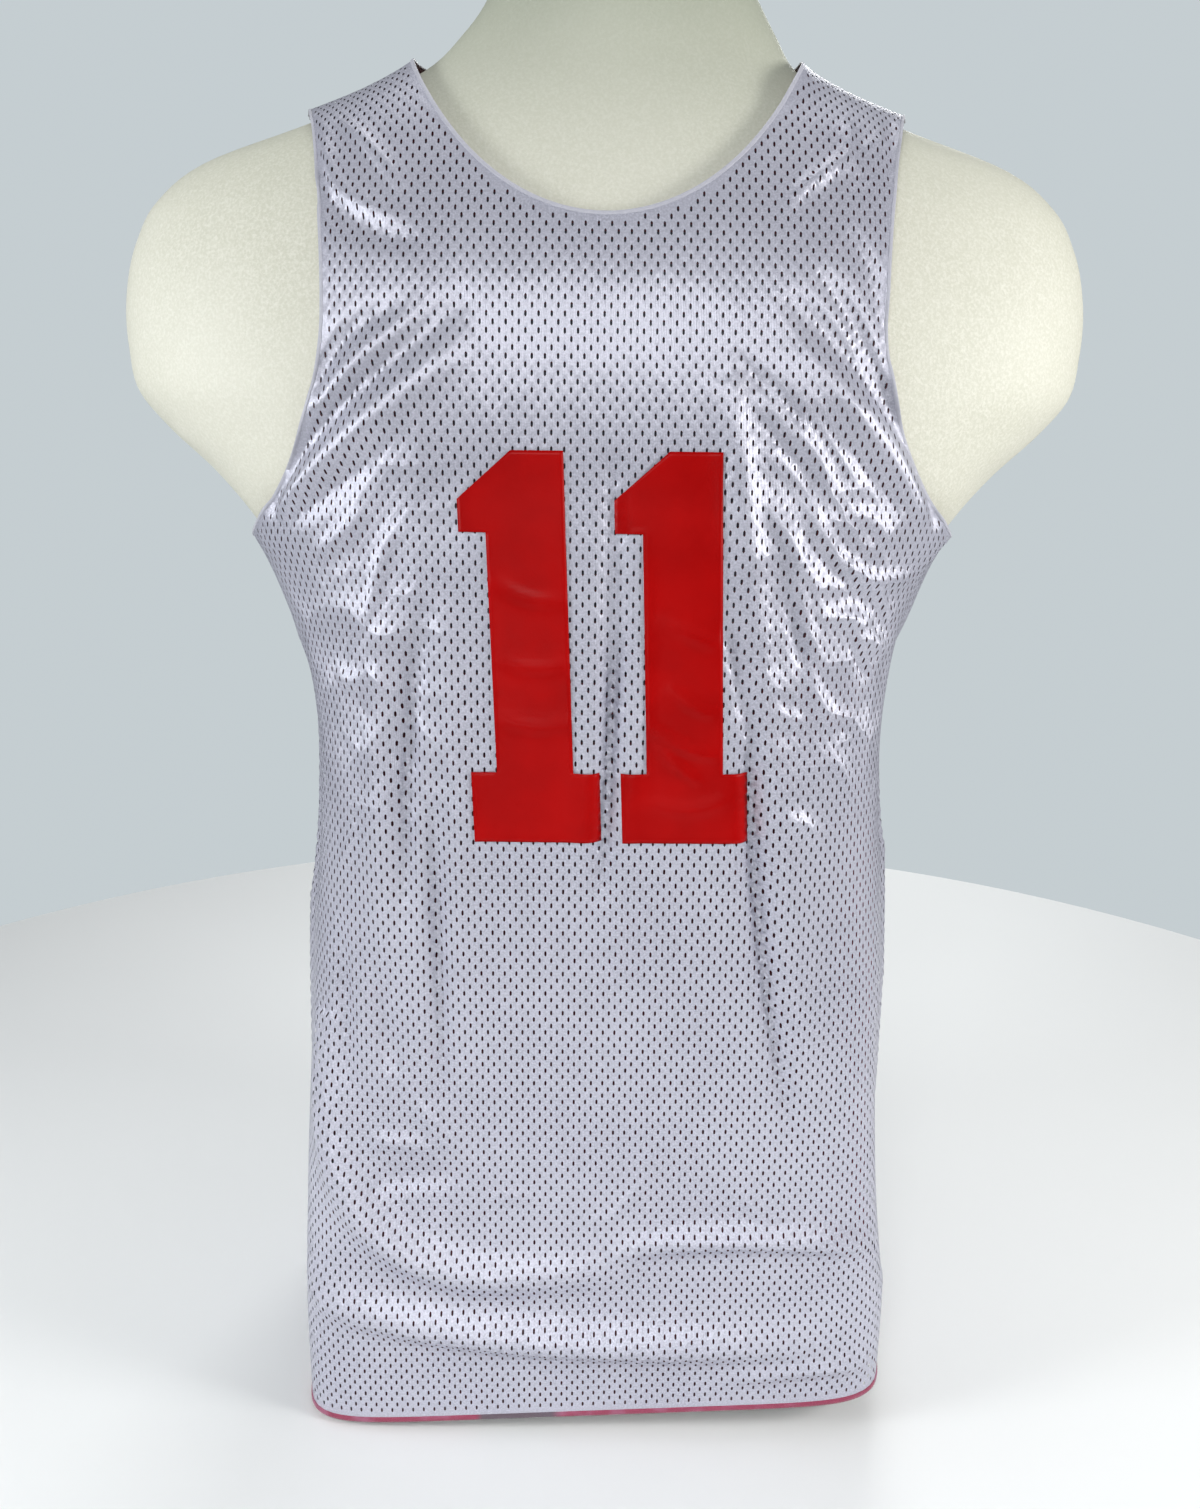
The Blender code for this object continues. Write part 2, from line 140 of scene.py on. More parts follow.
# Each crease runs along a bent line through three points of the flat cloth. A ridge has a height
# above 0, a trough one below 0. Full is 1 where the crease is strongest at its start, and 0 where it
# fades at both ends. Skew widens its left side, seen along the line, and narrows the right.
# Columns: start u v, middle u v, end u v, height and half width, all in millimetres, then full, skew.
FRONT_CREASES = (
    # long rolls above the hem
    (-158, 82, -20, 54, 150, 44, 7.6, 13, 0.2, 0.3),
    (-165, 270, -118, 124, 30, 110, 7, 12.5, 0, 0.1),
    (5, 114, 90, 122, 172, 108, 4.8, 8, 0, 0.25),
    (70, 20, 125, 27, 168, 24, 3, 6, 0, 0.2),
    (-130, 190, -110, 190, -88, 186, 2, 5, 0, 0),
    (-102, 218, -91, 200, -80, 184, 2, 4, 0, 0),
    (-130, 168, -100, 167, -70, 172, -2.5, 8, 0, 0),
    (-62, 152, -48, 155, -34, 152, 1, 3.5, 0, 0),
    (-4, 136, 15, 147, 36, 182, 1.2, 3.5, 0, 0),
    (84, 153, 93, 142, 102, 132, 1.3, 3.5, 0, 0),
    # long upright folds
    (78, 455, 86, 340, 112, 180, -5.5, 5, 0, 0),
    (92, 430, 105, 320, 126, 190, 3, 11, 0, 0),
    (-90, 500, -102, 420, -105, 320, -4.8, 6, 0, 0),
    (-112, 500, -121, 420, -119, 300, 2.5, 9, 0, 0),
    (-88, 395, -88, 310, -86, 212, -4.2, 5, 0, 0),
    (-80, 510, -76, 400, -74, 270, 2, 8, 0, 0),
    (-124, 295, -118, 262, -114, 232, -2.6, 7, 0, 0),
    (-151, 325, -146, 275, -142, 222, -2.6, 6, 0, 0),
    # between the numerals
    (4, 575, 6, 460, 0, 335, -6, 4.2, 0, 0),
    (-9, 540, -6, 450, -10, 350, 1.6, 6, 0, 0),
    (17, 540, 19, 450, 12, 350, 1.2, 6, 0, 0),
    # left chest, from the armhole towards the neck
    (-192, 548, -137, 594, -62, 650, -4, 6.5, 0.6, 0),
    (-180, 543, -125, 583, -60, 630, 2.4, 8, 0.4, 0),
    (-162, 580, -125, 612, -85, 642, 1.5, 7, 0, 0),
    (-184, 538, -140, 557, -98, 586, -2.6, 7, 0.3, 0),
    (-147, 606, -128, 630, -96, 645, -2, 5, 0.5, 0),
    (-112, 522, -119, 503, -125, 485, 1.9, 3.5, 0, 0),
    (-102, 538, -112, 525, -119, 510, 1.2, 4, 0, 0),
    (-158, 522, -140, 530, -122, 547, 1.6, 5, 0, 0),
    (-152, 463, -140, 456, -126, 460, 1.5, 5, 0, 0),
    (-134, 377, -142, 365, -151, 351, 1.2, 4, 0, 0),
    # left strap
    (-149, 702, -125, 684, -90, 675, -3, 5, 0.6, 0),
    (-142, 708, -122, 695, -100, 686, 1.3, 5, 0, 0),
    (-163, 750, -154, 728, -143, 699, -2.4, 4, 0.3, 0),
    (-139, 744, -118, 725, -99, 701, 1.8, 4, 0, 0),
    (-151, 734, -144, 718, -137, 699, 1.5, 3.5, 0, 0),
    # right chest, from the armhole towards the neck
    (196, 544, 151, 594, 86, 652, -4, 5.5, 0.5, 0),
    (176, 545, 137, 587, 90, 628, 2, 7, 0.3, 0),
    (146, 602, 128, 632, 104, 663, -2.5, 4, 0.4, 0),
    (148, 621, 138, 652, 121, 685, -2, 5, 0.4, 0),
    (126, 555, 101, 588, 58, 624, -1.8, 3.5, 0, 0),
    (153, 551, 125, 575, 94, 602, -1.5, 4, 0.2, 0),
    (109, 555, 94, 574, 68, 594, -2, 4, 0, 0),
    # right chest, a bunch of crinkles
    (59, 612, 71, 545, 93, 392, 3.4, 8, 0, 0),
    (81, 554, 96, 530, 113, 503, 2.2, 4, 0, 0),
    (103, 554, 132, 516, 184, 512, 2.9, 4, 0, 0),
    (110, 537, 135, 505, 166, 497, -1.5, 5, 0, 0),
    (117, 507, 130, 508, 147, 507, 1.3, 3, 0, 0),
    (101, 527, 101, 500, 116, 467, 2.2, 4.5, 0, 0),
    (96, 507, 101, 485, 108, 460, -2.5, 4, 0, 0),
    (113, 493, 130, 492, 154, 486, 1.9, 3.2, 0, 0),
    (152, 508, 163, 496, 177, 490, 1.8, 3.5, 0, 0),
    (139, 480, 155, 478, 172, 470, 2.3, 5, 0, 0),
    (136, 481, 145, 467, 157, 458, -2, 3.5, 0, 0),
    (107, 474, 115, 450, 130, 435, 2.1, 4, 0, 0),
    (87, 445, 98, 441, 112, 436, 1.6, 3.5, 0, 0),
    (95, 384, 109, 383, 121, 371, 1.6, 3.5, 0, 0),
    (63, 492, 69, 468, 75, 441, -2, 3, 0, 0),
    (68, 445, 72, 434, 78, 423, 1, 3, 0, 0),
    (124, 546, 143, 541, 156, 528, 1.3, 4, 0, 0),
    (120, 420, 132, 412, 142, 398, 1, 4, 0, 0),
    # right strap
    (87, 695, 107, 712, 125, 724, 2.3, 3.5, 0, 0),
    (121, 720, 123, 733, 122, 747, 1.6, 3, 0, 0),
    (127, 724, 137, 731, 149, 737, 1.3, 3, 0, 0),
    (152, 750, 151, 730, 147, 708, -2.4, 4, 0.3, 0),
    (118, 705, 128, 711, 137, 707, -1.3, 4, 0, 0),
    (80, 800, 92, 782, 94, 755, 3, 12, 0.4, 0),
    # small ones across the print
    (20, 441, 40, 427, 63, 420, 1.7, 3.2, 0, 0),
    (27, 428, 40, 416, 53, 405, 1.5, 2.6, 0, 0),
    (33, 459, 48, 447, 60, 443, 1.2, 3, 0, 0),
    (26, 494, 45, 485, 62, 478, 1.2, 4, 0, 0),
    (20, 398, 47, 391, 70, 399, 1, 4, 0, 0),
    (-56, 514, -38, 503, -16, 502, 1.2, 4, 0, 0),
    (-52, 472, -36, 467, -14, 470, 1, 3.5, 0, 0),
    (-54, 441, -35, 436, -12, 438, 1.1, 4, 0, 0),
    # broad swellings of the chest, where the cloth stands off the form
    (-200, 530, -130, 585, -60, 620, 3, 34, 0.3, 0),
    (200, 530, 130, 575, 70, 600, 3.2, 38, 0.3, 0),
    # towards the side seams
    (215, 530, 232, 460, 222, 350, -5, 34, 0, 0),
    (190, 270, 192, 170, 190, 70, -3.5, 28, 0, 0),
    (-210, 470, -220, 400, -210, 320, -2.5, 28, 0, 0),
    (210, 440, 222, 330, 212, 190, 3, 9, 0, 0),
    (-224, 450, -214, 320, -228, 160, 3, 9, 0, 0),
    (-246, 400, -240, 290, -246, 200, -2, 6, 0, 0),
)
BACK_CREASES = (
    (-155, 70, 10, 60, 150, 78, 5.5, 13, 0.2, 0.3),
    (-150, 150, -20, 118, 140, 140, 4.5, 12, 0, 0.2),
    (-60, 30, 30, 24, 120, 34, 2.5, 7, 0, 0.2),
    (-95, 480, -102, 350, -122, 190, -3.6, 5.5, 0, 0),
    (-112, 500, -122, 370, -142, 210, 3, 10, 0, 0),
    (100, 470, 108, 340, 120, 200, -3.6, 5.5, 0, 0),
    (85, 500, 90, 360, 98, 220, 2.6, 10, 0, 0),
    (132, 440, 140, 340, 136, 240, 2.4, 9, 0, 0),
    (10, 420, 14, 310, 4, 210, -2, 8, 0, 0),
    (-45, 380, -40, 280, -48, 200, 1.8, 9, 0, 0),
    (-205, 545, -150, 592, -85, 640, -3.6, 6.5, 0.6, 0),
    (-190, 532, -135, 575, -75, 612, 2.2, 8, 0.3, 0),
    (205, 545, 152, 596, 80, 650, -3.8, 6, 0.6, 0),
    (188, 530, 138, 570, 90, 600, 2.2, 7, 0.3, 0),
    (160, 520, 125, 540, 95, 572, -2.2, 6, 0.2, 0),
    (-160, 515, -128, 532, -100, 560, -2, 6, 0.2, 0),
    (110, 545, 128, 515, 160, 498, 1.8, 4.5, 0, 0),
    (-112, 530, -130, 500, -165, 488, 1.8, 4.5, 0, 0),
    (-80, 660, 0, 640, 85, 664, 1.6, 10, 0, 0),
    (-120, 730, -105, 712, -80, 700, 1.6, 5, 0, 0),
    (125, 735, 108, 716, 85, 700, 1.8, 5, 0, 0),
    (150, 700, 130, 690, 100, 690, -2, 5, 0.5, 0),
    (-150, 690, -132, 682, -105, 684, -2, 5, 0.5, 0),
    (212, 450, 222, 330, 214, 180, 3, 9, 0, 0),
    (-222, 440, -214, 310, -224, 170, 3, 9, 0, 0),
    (244, 410, 240, 300, 246, 190, -2, 6, 0, 0),
)
CREASES = {"front": FRONT_CREASES, "back": BACK_CREASES}
CREASE_STRENGTH = 1.55
CREASE_REACH = 2.6e-3  # half widths in metres, past which a crease is left out
DEEPEST_HANGING = 0.012
DEEPEST_ON_FORM = 0.0021
FORM_NEAR = (0.43, 0.06)  # above this height, over this length, troughs get no deeper than on the form
TROUGH_ROUNDING = 0.0008  # how softly the deepest troughs level out
CREASES_END = 0.026  # creases fade over this length before a side or shoulder seam

# -------------------- the mesh cloth and its edges

STEP_U = HALF_CHEST / 88  # half the distance between two slits of a row
STEP_V = 0.0040  # from a row of slits to the next, which is set over by STEP_U
SLIT_HALF_WIDTH = 0.00058
SLIT_HALF_HEIGHT = 0.00165
SLIT_SHOULDER = 0.00085  # the slit keeps its width this far above and below its middle
PLAIN_EDGE = 0.0042  # no slit has its middle nearer to a cut edge

RIM_WIDTH = 0.0019
RIM_THICKNESS = 0.0008
RIM_OVERHANG = 0.0003
RIM_STEP = 0.0016
HEM_BAND = 0.0042
HEM_OVERHANG = 0.0012
HEM_HALF_THICKNESS = 0.0016
HEM_DROP = 0.0008  # the band's middle, below the cloth's outer face
HEM_STEP = 0.0006
STITCH = 0.0023  # along the overlocked hem, from one thread to the next
SEAM_HALF_WIDTH = 0.0013
SEAM_HALF_HEIGHT = 0.0006
SEAM_STITCH = 0.0045
RIB_PITCH = 0.0008
UV_SHIFT = (0.5, 0.05)  # moves cloth metres so that all of a panel lies between 0 and 1

NUMERALS = (("numeral_left", -0.0325), ("numeral_right", 0.0458))
NUMERAL_HEIGHT = 0.203
NUMERAL_BASE = 0.3725
NUMERAL_LEAN = 2.0
FOOT_HALF = 0.0335
FOOT_HEIGHT = 0.0385
STEM_HALF = 0.0200
FLAG_OUT = 0.0338
FLAG_TOP = 0.0240
FLAG_BOTTOM = 0.0402
TOP_LEFT = 0.0060
PRINT_LIFT = 0.0007
PRINT_THICKNESS = 0.0003
WELD_DISTANCE = 2e-5

# -------------------- stage and camera

FLOOR_RADIUS = 0.95
FLOOR_GAP = 0.001
SURROUND_LIGHT = 0.17
SURROUND_SHOWN = 0.62
# Columns: name, place, aim, width and height, power, colour, spread in degrees.
LAMPS = (
    ("right lamp", (1.15, -0.50, 0.72), (0, 0, 0.40), (0.40, 0.40), 10.5, (1.0, 0.99, 0.97), 180),
    ("left lamp", (-1.20, -0.50, 0.72), (0, 0, 0.38), (0.40, 0.40), 9, (0.97, 0.99, 1.0), 180),
    ("front lamp", (-0.15, -1.50, 1.20), (0, 0, 0.50), (0.50, 0.25), 10, (1.0, 1.0, 1.0), 180),
    ("low lamp", (-0.25, -1.25, 0.32), (0, 0, 0.00), (0.9, 0.14), 0.68, (1.0, 1.0, 1.0), 60),
    ("top lamp", (0.0, 0.2, 1.90), (0, 0, 0.0), (0.8, 0.8), 5, (1.0, 1.0, 1.0), 180),
    ("back lamp", (0.4, 1.7, 1.1), (0, 0, 0.45), (0.8, 0.8), 16, (0.99, 1.0, 1.0), 180),
)
CAMERA_PLACE = (0.0, -0.7675, 0.600)
CAMERA_TIP = 74.7
CAMERA_ROLL = 0.6
FOCAL_LENGTH = 31.0


def at_heights(sections, heights):
    """Half width, front, back and squareness at any heights: a smooth curve through the table's rows."""
    rows = np.array(sections)
    z, values = rows[:, 0], rows[:, 1:]
    slopes = np.gradient(values, z, axis=0)
    row = np.clip(np.searchsorted(z, heights, side="right") - 1, 0, len(z) - 2)
    step = (z[row + 1] - z[row])[..., None]
    t = np.clip((heights - z[row])[..., None] / step, 0, 1)
    found = (
        (1 + 2 * t) * (1 - t) ** 2 * values[row]
        + t * (1 - t) ** 2 * step * slopes[row]
        + t**2 * (3 - 2 * t) * values[row + 1]
        + t**2 * (t - 1) * step * slopes[row + 1]
    )
    return np.moveaxis(found, -1, 0)


def ease_in(t):
    """0 below 0, 1 above 1, and a smooth step between."""
    t = np.clip(t, 0, 1)
    return t**2 * (3 - 2 * t)


def section_value(x, y, heights):
    """1 on the guide surface, more outside it: |x / half width|^n + |y / depth|^n."""
    half_width, front, back, power = at_heights(WORN_SECTIONS, heights)
    depth = np.where(y < 0, front, back)
    return np.abs(x / half_width) ** power + np.abs(y / depth) ** power


def outward(points):
    """The unit normals of the guide surface, as the slope of its section value."""
    x, y, z = points.T
    step = 1e-4
    half_width, front, back, power = at_heights(WORN_SECTIONS, z)
    depth = np.where(y < 0, front, back)
    slope = np.stack(
        [
            np.sign(x) * power * np.abs(x) ** (power - 1) / half_width**power,
            np.sign(y) * power * np.abs(y) ** (power - 1) / depth**power,
            (section_value(x, y, z + step) - section_value(x, y, z - step)) / (2 * step),
        ],
        axis=1,
    )
    return slope / np.linalg.norm(slope, axis=1)[:, None]


def run_of(*coordinates):
    """The length along a line of points, from 0 at its start."""
    steps = np.sqrt(sum(np.diff(c, axis=-1) ** 2 for c in coordinates))
    start = np.zeros(steps.shape[:-1] + (1,))
    return np.concatenate([start, np.cumsum(steps, axis=-1)], axis=-1)


class WornSide:
    """The front or the back of the guide surface, as a table from the flat cloth to its place.

    Below the yoke a point keeps its height, and its distance from the centre line is measured round
    the section. Above the yoke each upright thread keeps its x and climbs to the shoulder's crest.
    """

    ACROSS = np.linspace(0, HALF_CHEST, 141)
    UP = np.arange(0, 0.90, 0.004)
    SLACK_FROM = 0.10

    def __init__(self, side):
        self.side = side
        self.sign = -1 if side == "front" else 1
        low = self.UP[self.UP < YOKE]
        hanging = [self.section_by_length(z) for z in low]
        x_yoke, _ = self.section_by_length(YOKE)
        x = [row[0] for row in hanging]
        y = [row[1] for row in hanging]
        z = [np.full_like(self.ACROSS, z) for z in low]
        thread_y, thread_z, run = self.threads(x_yoke)
        for v in self.UP[self.UP >= YOKE]:
            x.append(x_yoke)
            y.append([np.interp(v - YOKE, r, t) for r, t in zip(run, thread_y)])
            z.append([np.interp(v - YOKE, r, t) for r, t in zip(run, thread_z)])
        self.table = np.stack([np.array(x), np.array(y), np.array(z)], axis=-1)
        self.crest = YOKE + run[:, -1]

    def depth(self, heights):
        half_width, front, back, power = at_heights(WORN_SECTIONS, heights)
        return half_width, (front if self.side == "front" else back), power

    def section_by_length(self, height):
        """x and y where each thread crosses one section, with the slack spread beyond SLACK_FROM."""
        half_width, depth, power = self.depth(np.array(height))
        angle = np.linspace(0, pi / 2, 241)
        x = half_width * np.sin(angle) ** (2 / power)
        y = self.sign * depth * np.cos(angle) ** (2 / power)
        run = run_of(x, y)
        drawn_in = ease_in((self.ACROSS - self.SLACK_FROM) / (HALF_CHEST - self.SLACK_FROM))
        along = self.ACROSS - (HALF_CHEST - run[-1]) * drawn_in
        return np.interp(along, run, x), np.interp(along, run, y)

    def threads(self, x_yoke):
        """y and z up each thread from the yoke to the crest, closer together near the crest."""
        heights = np.linspace(0.86, 0.68, 400)
        crest = np.interp(x_yoke, self.depth(heights)[0], heights)[:, None]
        to_crest = 1 - np.linspace(0, 1, 200)
        z = crest - (crest - YOKE) * to_crest**2
        half_width, depth, power = self.depth(z)
        inside = np.clip(1 - (x_yoke[:, None] / half_width) ** power, 0, 1)
        y = self.sign * depth * inside ** (1 / power)
        return y, z, run_of(y, z)

    def crest_at(self, u):
        return np.interp(np.abs(u), self.ACROSS, self.crest)

    def creased(self, u, v):
        """How far the creases lift the cloth, fading to nothing at the side and shoulder seams."""
        from_seam = np.minimum(HALF_CHEST - np.abs(u), self.crest_at(u) - v)
        lift = crease_height(CREASES[self.side], u, v) * ease_in(from_seam / CREASES_END)
        near, length = FORM_NEAR
        deepest = -DEEPEST_HANGING + (DEEPEST_HANGING - DEEPEST_ON_FORM) * ease_in((v - near) / length)
        over = lift - deepest
        return deepest + 0.5 * (over + np.sqrt(over**2 + TROUGH_ROUNDING**2))

    def place(self, u, v, lift):
        """Flat points (u, v), lifted off the guide surface, as worn points."""
        column = np.abs(u) / HALF_CHEST * (len(self.ACROSS) - 1)
        row = np.clip(v, 0, self.UP[-1]) / (self.UP[1] - self.UP[0])
        i = np.clip(row.astype(int), 0, len(self.UP) - 2)
        j = np.clip(column.astype(int), 0, len(self.ACROSS) - 2)
        s, t = (row - i)[:, None], (column - j)[:, None]
        points = (
            (1 - s) * (1 - t) * self.table[i, j]
            + (1 - s) * t * self.table[i, j + 1]
            + s * (1 - t) * self.table[i + 1, j]
            + s * t * self.table[i + 1, j + 1]
        )
        points[:, 0] *= np.sign(u) * -self.sign
        points = points + outward(points) * lift[:, None]
        hem = HEM_LOW + HEM_RISE * (0.5 + 0.5 * points[:, 0] / HANGING_SECTIONS[0][1])
        points[:, 2] += hem * np.clip(1 - v / LEVEL_FROM, 0, 1) + np.minimum(v, 0)
        return points


def crease_height(creases, u, v):
    """The sum of the creases: a bell across each bent line, as high as its fade along the line allows."""
    lift = np.zeros_like(u)
    t = np.linspace(0, 1, 41)
    through = np.stack([(2 * t - 1) * (t - 1), 4 * t * (1 - t), t * (2 * t - 1)], axis=1)
    for u0, v0, u1, v1, u2, v2, height, half_width, full, skew in creases:
        line = through @ (np.array([[u0, v0], [u1, v1], [u2, v2]]) / 1000)
        reach = CREASE_REACH * half_width * (1 + abs(skew))
        low, high = line.min(axis=0) - reach, line.max(axis=0) + reach
        near = np.flatnonzero((u > low[0]) & (u < high[0]) & (v > low[1]) & (v < high[1]))
        if not len(near):
            continue
        away = np.stack([u[near], v[near]], axis=1)[:, None] - line
        apart = np.hypot(away[..., 0], away[..., 1])
        nearest = apart.argmin(axis=1)
        rows = np.arange(len(near))
        along = np.gradient(line, axis=0)[nearest]
        off = away[rows, nearest]
        side = np.sign(along[:, 0] * off[:, 1] - along[:, 1] * off[:, 0])
        width = 1e-3 * half_width * (1 + skew * side)
        fade = np.sin(pi * (full / 2 + t * (1 - full / 2))) ** 0.7
        profile = np.exp(-((apart[rows, nearest] / width) ** 2))
        lift[near] += CREASE_STRENGTH * 1e-3 * height * fade[nearest] * profile
    return lift


# -------------------- flat outlines


def cut_edges(worn):
    """The flat edges of a panel, each a line of points, counterclockwise: hem, right side, right
    armhole, right shoulder, neck, left shoulder, left armhole, left side. The armhole is a quarter
    ellipse from the side seam, then runs up and slightly outwards. The neck is nearly a half ellipse.
    """
    neck_drop, armhole_in, neck_pointed = PANELS[worn.side]
    scoop = np.linspace(0, pi / 2, 60)
    rise = np.linspace(0, 1, 40)[1:]
    tip_v = worn.crest_at(SHOULDER_TIP)
    low_v = PIT_LENGTH + ARMHOLE_SCOOP
    armhole_u = np.concatenate(
        [
            armhole_in + (HALF_CHEST - armhole_in) * (1 - np.sin(scoop)),
            armhole_in + (SHOULDER_TIP - armhole_in) * rise**2,
        ]
    )
    armhole_v = np.concatenate(
        [PIT_LENGTH + ARMHOLE_SCOOP * (1 - np.cos(scoop)), low_v + (tip_v - low_v) * rise]
    )
    armhole = np.stack([armhole_u, armhole_v], axis=1)
    along = np.linspace(SHOULDER_TIP, NECK_HALF_WIDTH, 20)
    shoulder = np.stack([along, worn.crest_at(along)], axis=1)
    turn = np.linspace(0, pi, 120)
    x = np.cos(turn)
    height = neck_pointed * x**2 + (1 - neck_pointed) * (1 - np.sqrt(np.clip(1 - x**2, 0, 1)))
    neck = np.stack([NECK_HALF_WIDTH * x, shoulder[-1, 1] - neck_drop * (1 - height)], axis=1)
    hem = np.array([[-HALF_CHEST, 0.0], [HALF_CHEST, 0.0]])
    side = np.array([[HALF_CHEST, 0.0], [HALF_CHEST, PIT_LENGTH]])
    mirror = np.array([-1.0, 1.0])
    return {
        "hem": hem,
        "right_side": side,
        "right_armhole": armhole,
        "right_shoulder": shoulder,
        "neck": neck,
        "left_shoulder": shoulder[::-1] * mirror,
        "left_armhole": armhole[::-1] * mirror,
        "left_side": side[::-1] * mirror,
    }


def outline_of(edges):
    """All edges as one closed line, each corner once."""
    return np.concatenate([line[:-1] for line in edges.values()])


def within(points, outline):
    """Which points lie inside the outline: an upward line from each crosses it an odd number of times."""
    a, b = outline, np.roll(outline, -1, axis=0)
    u, v = points[:, :1], points[:, 1:]
    spans = (a[:, 0] > u) != (b[:, 0] > u)
    run = np.where(np.abs(b[:, 0] - a[:, 0]) < 1e-12, 1e-12, b[:, 0] - a[:, 0])
    crossing = a[:, 1] + (u - a[:, 0]) / run * (b[:, 1] - a[:, 1])
    return ((spans & (crossing > v)).sum(axis=1) % 2).astype(bool)


def nearest_on(points, outline):
    """The outline's nearest point to each point, and how far it is."""
    a = outline
    edge = np.roll(outline, -1, axis=0) - a
    t = ((points[:, None] - a) * edge).sum(axis=2) / (edge**2).sum(axis=1)
    foot = a + np.clip(t, 0, 1)[..., None] * edge
    apart = np.linalg.norm(points[:, None] - foot, axis=2)
    best = apart.argmin(axis=1)
    rows = np.arange(len(points))
    return foot[rows, best], apart[rows, best]


def cloth_lattice(edges, with_slits):
    """The flat cloth inside the edges, as a lattice of diamonds. Each diamond has an upright slit in its
    middle, six-sided, unless it is too near an edge. Corners beyond an edge are drawn back to it.
    """
    outline = outline_of(edges)
    across = round(HALF_CHEST / STEP_U) + 1
    up = int(np.ceil(outline[:, 1].max() / STEP_V)) + 1
    i, j = np.meshgrid(np.arange(-across, across + 1), np.arange(-1, up + 1), indexing="ij")
    column = up + 2
    grid = np.stack([i.ravel() * STEP_U, j.ravel() * STEP_V], axis=1)
    inside = within(grid, outline)
    foot, apart = nearest_on(grid, outline)
    points = np.where(inside[:, None], grid, foot)
    for corner in (line[0] for line in edges.values()):
        odd = (i + j).ravel() % 2 == 1
        closest = np.where(odd, np.linalg.norm(grid - corner, axis=1), 1.0).argmin()
        points[closest] = corner
    middle = (i > -across) & (i < across) & (j > -1) & (j < up) & ((i + j) % 2 == 0)
    centre = np.flatnonzero(middle.ravel())
    corners = np.stack([centre + column, centre + 1, centre - column, centre - 1], axis=1)
    whole = inside[corners].all(axis=1) & inside[centre]
    kept = inside[corners].any(axis=1) | inside[centre]
    slit = whole & (apart[centre] > PLAIN_EDGE)
    solid = whole & ~slit if with_slits else whole
    quads = [corners[solid]]
    part = kept & ~whole
    turns = ((0, 1), (1, 2), (2, 3), (3, 0))
    fans = [np.stack([corners[part, k], corners[part, m], centre[part]], axis=1) for k, m in turns]
    triangles = np.concatenate(fans)
    a, b, c = (points[triangles[:, k]] for k in range(3))
    area = (b[:, 0] - a[:, 0]) * (c[:, 1] - a[:, 1]) - (b[:, 1] - a[:, 1]) * (c[:, 0] - a[:, 0])
    triangles = [triangles[area > 1e-8]]
    if with_slits:
        wide, tall, level = SLIT_HALF_WIDTH, SLIT_HALF_HEIGHT, SLIT_SHOULDER
        right = [[wide, -level], [wide, level], [0, tall]]
        shape = np.array(right + [[-wide, level], [-wide, -level], [0, -tall]])
        ring = len(points) + np.arange(slit.sum() * 6).reshape(-1, 6)
        points = np.concatenate([points, (grid[centre[slit]][:, None] + shape).reshape(-1, 2)])
        east, north, west, south = corners[slit].T
        r = ring.T
        triangles += [np.stack([east, r[1], r[0]], axis=1), np.stack([west, r[4], r[3]], axis=1)]
        quads += [
            np.stack([east, north, r[2], r[1]], axis=1),
            np.stack([north, west, r[3], r[2]], axis=1),
            np.stack([west, south, r[5], r[4]], axis=1),
            np.stack([south, east, r[0], r[5]], axis=1),
        ]
    return points, np.concatenate(triangles), np.concatenate(quads)


# -------------------- meshes


def make_piece(name, points, faces, material, uv=None):
    """A mesh object from arrays of points and of faces. Points that no face uses are left out."""
    used = np.unique(np.concatenate([f.ravel() for f in faces]))
    renumber = np.zeros(len(points), int)
    renumber[used] = np.arange(len(used))
    polygons = [row for f in faces for row in renumber[f].tolist()]
    mesh = bpy.data.meshes.new(name)
    mesh.from_pydata(points[used].tolist(), [], polygons)
    if uv is not None:
        corner = np.empty(len(mesh.loops), np.int32)
        mesh.loops.foreach_get("vertex_index", corner)
        mesh.uv_layers.new(name="cloth").data.foreach_set("uv", uv[used][corner].ravel())
    mesh.shade_smooth()
    mesh.materials.append(material)
    piece = bpy.data.objects.new(name, mesh)
    bpy.context.scene.collection.objects.link(piece)
    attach(piece, "root")
    return piece


def wrapped_grid(rows, columns, closed_rows, first=0):
    """Quads between the points of a grid that closes on itself across, and along too if asked."""
    i = np.arange(rows if closed_rows else rows - 1)[:, None]
    j = np.arange(columns)
    k, m = (i + 1) % rows, (j + 1) % columns
    quads = np.stack([i * columns + j, k * columns + j, k * columns + m, i * columns + m], axis=-1)
    return first + quads.reshape(-1, 4)


def end_fans(rows, columns):
    """Triangles from the first and last rings of a grid to its two end points, which follow the rings."""
    j = np.arange(columns)
    k = (j + 1) % columns
    last = (rows - 1) * columns
    hub = np.full(columns, rows * columns)
    return [np.stack([k, j, hub], axis=1), np.stack([last + j, last + k, hub + 1], axis=1)]


def cloth_uv(flat):
    return flat + UV_SHIFT


def lining_depth(v):
    """The inner layer lies close behind the outer one, and a little deeper where both hang free."""
    joins, length = LINING_JOINS
    return LAYER_DROP + LINING_HANG * ease_in((joins - v) / length)


def evenly(line, step):
    """The same line with points a step apart."""
    run = run_of(line[:, 0], line[:, 1])
    at = np.linspace(0, run[-1], max(2, int(round(run[-1] / step)) + 1))
    return np.stack([np.interp(at, run, line[:, 0]), np.interp(at, run, line[:, 1])], axis=1)


def inward(line):
    """Unit normals of a flat edge, towards the cloth on its left."""
    along = np.gradient(line, axis=0)
    normal = np.stack([-along[:, 1], along[:, 0]], axis=1)
    return normal / np.linalg.norm(normal, axis=1)[:, None]


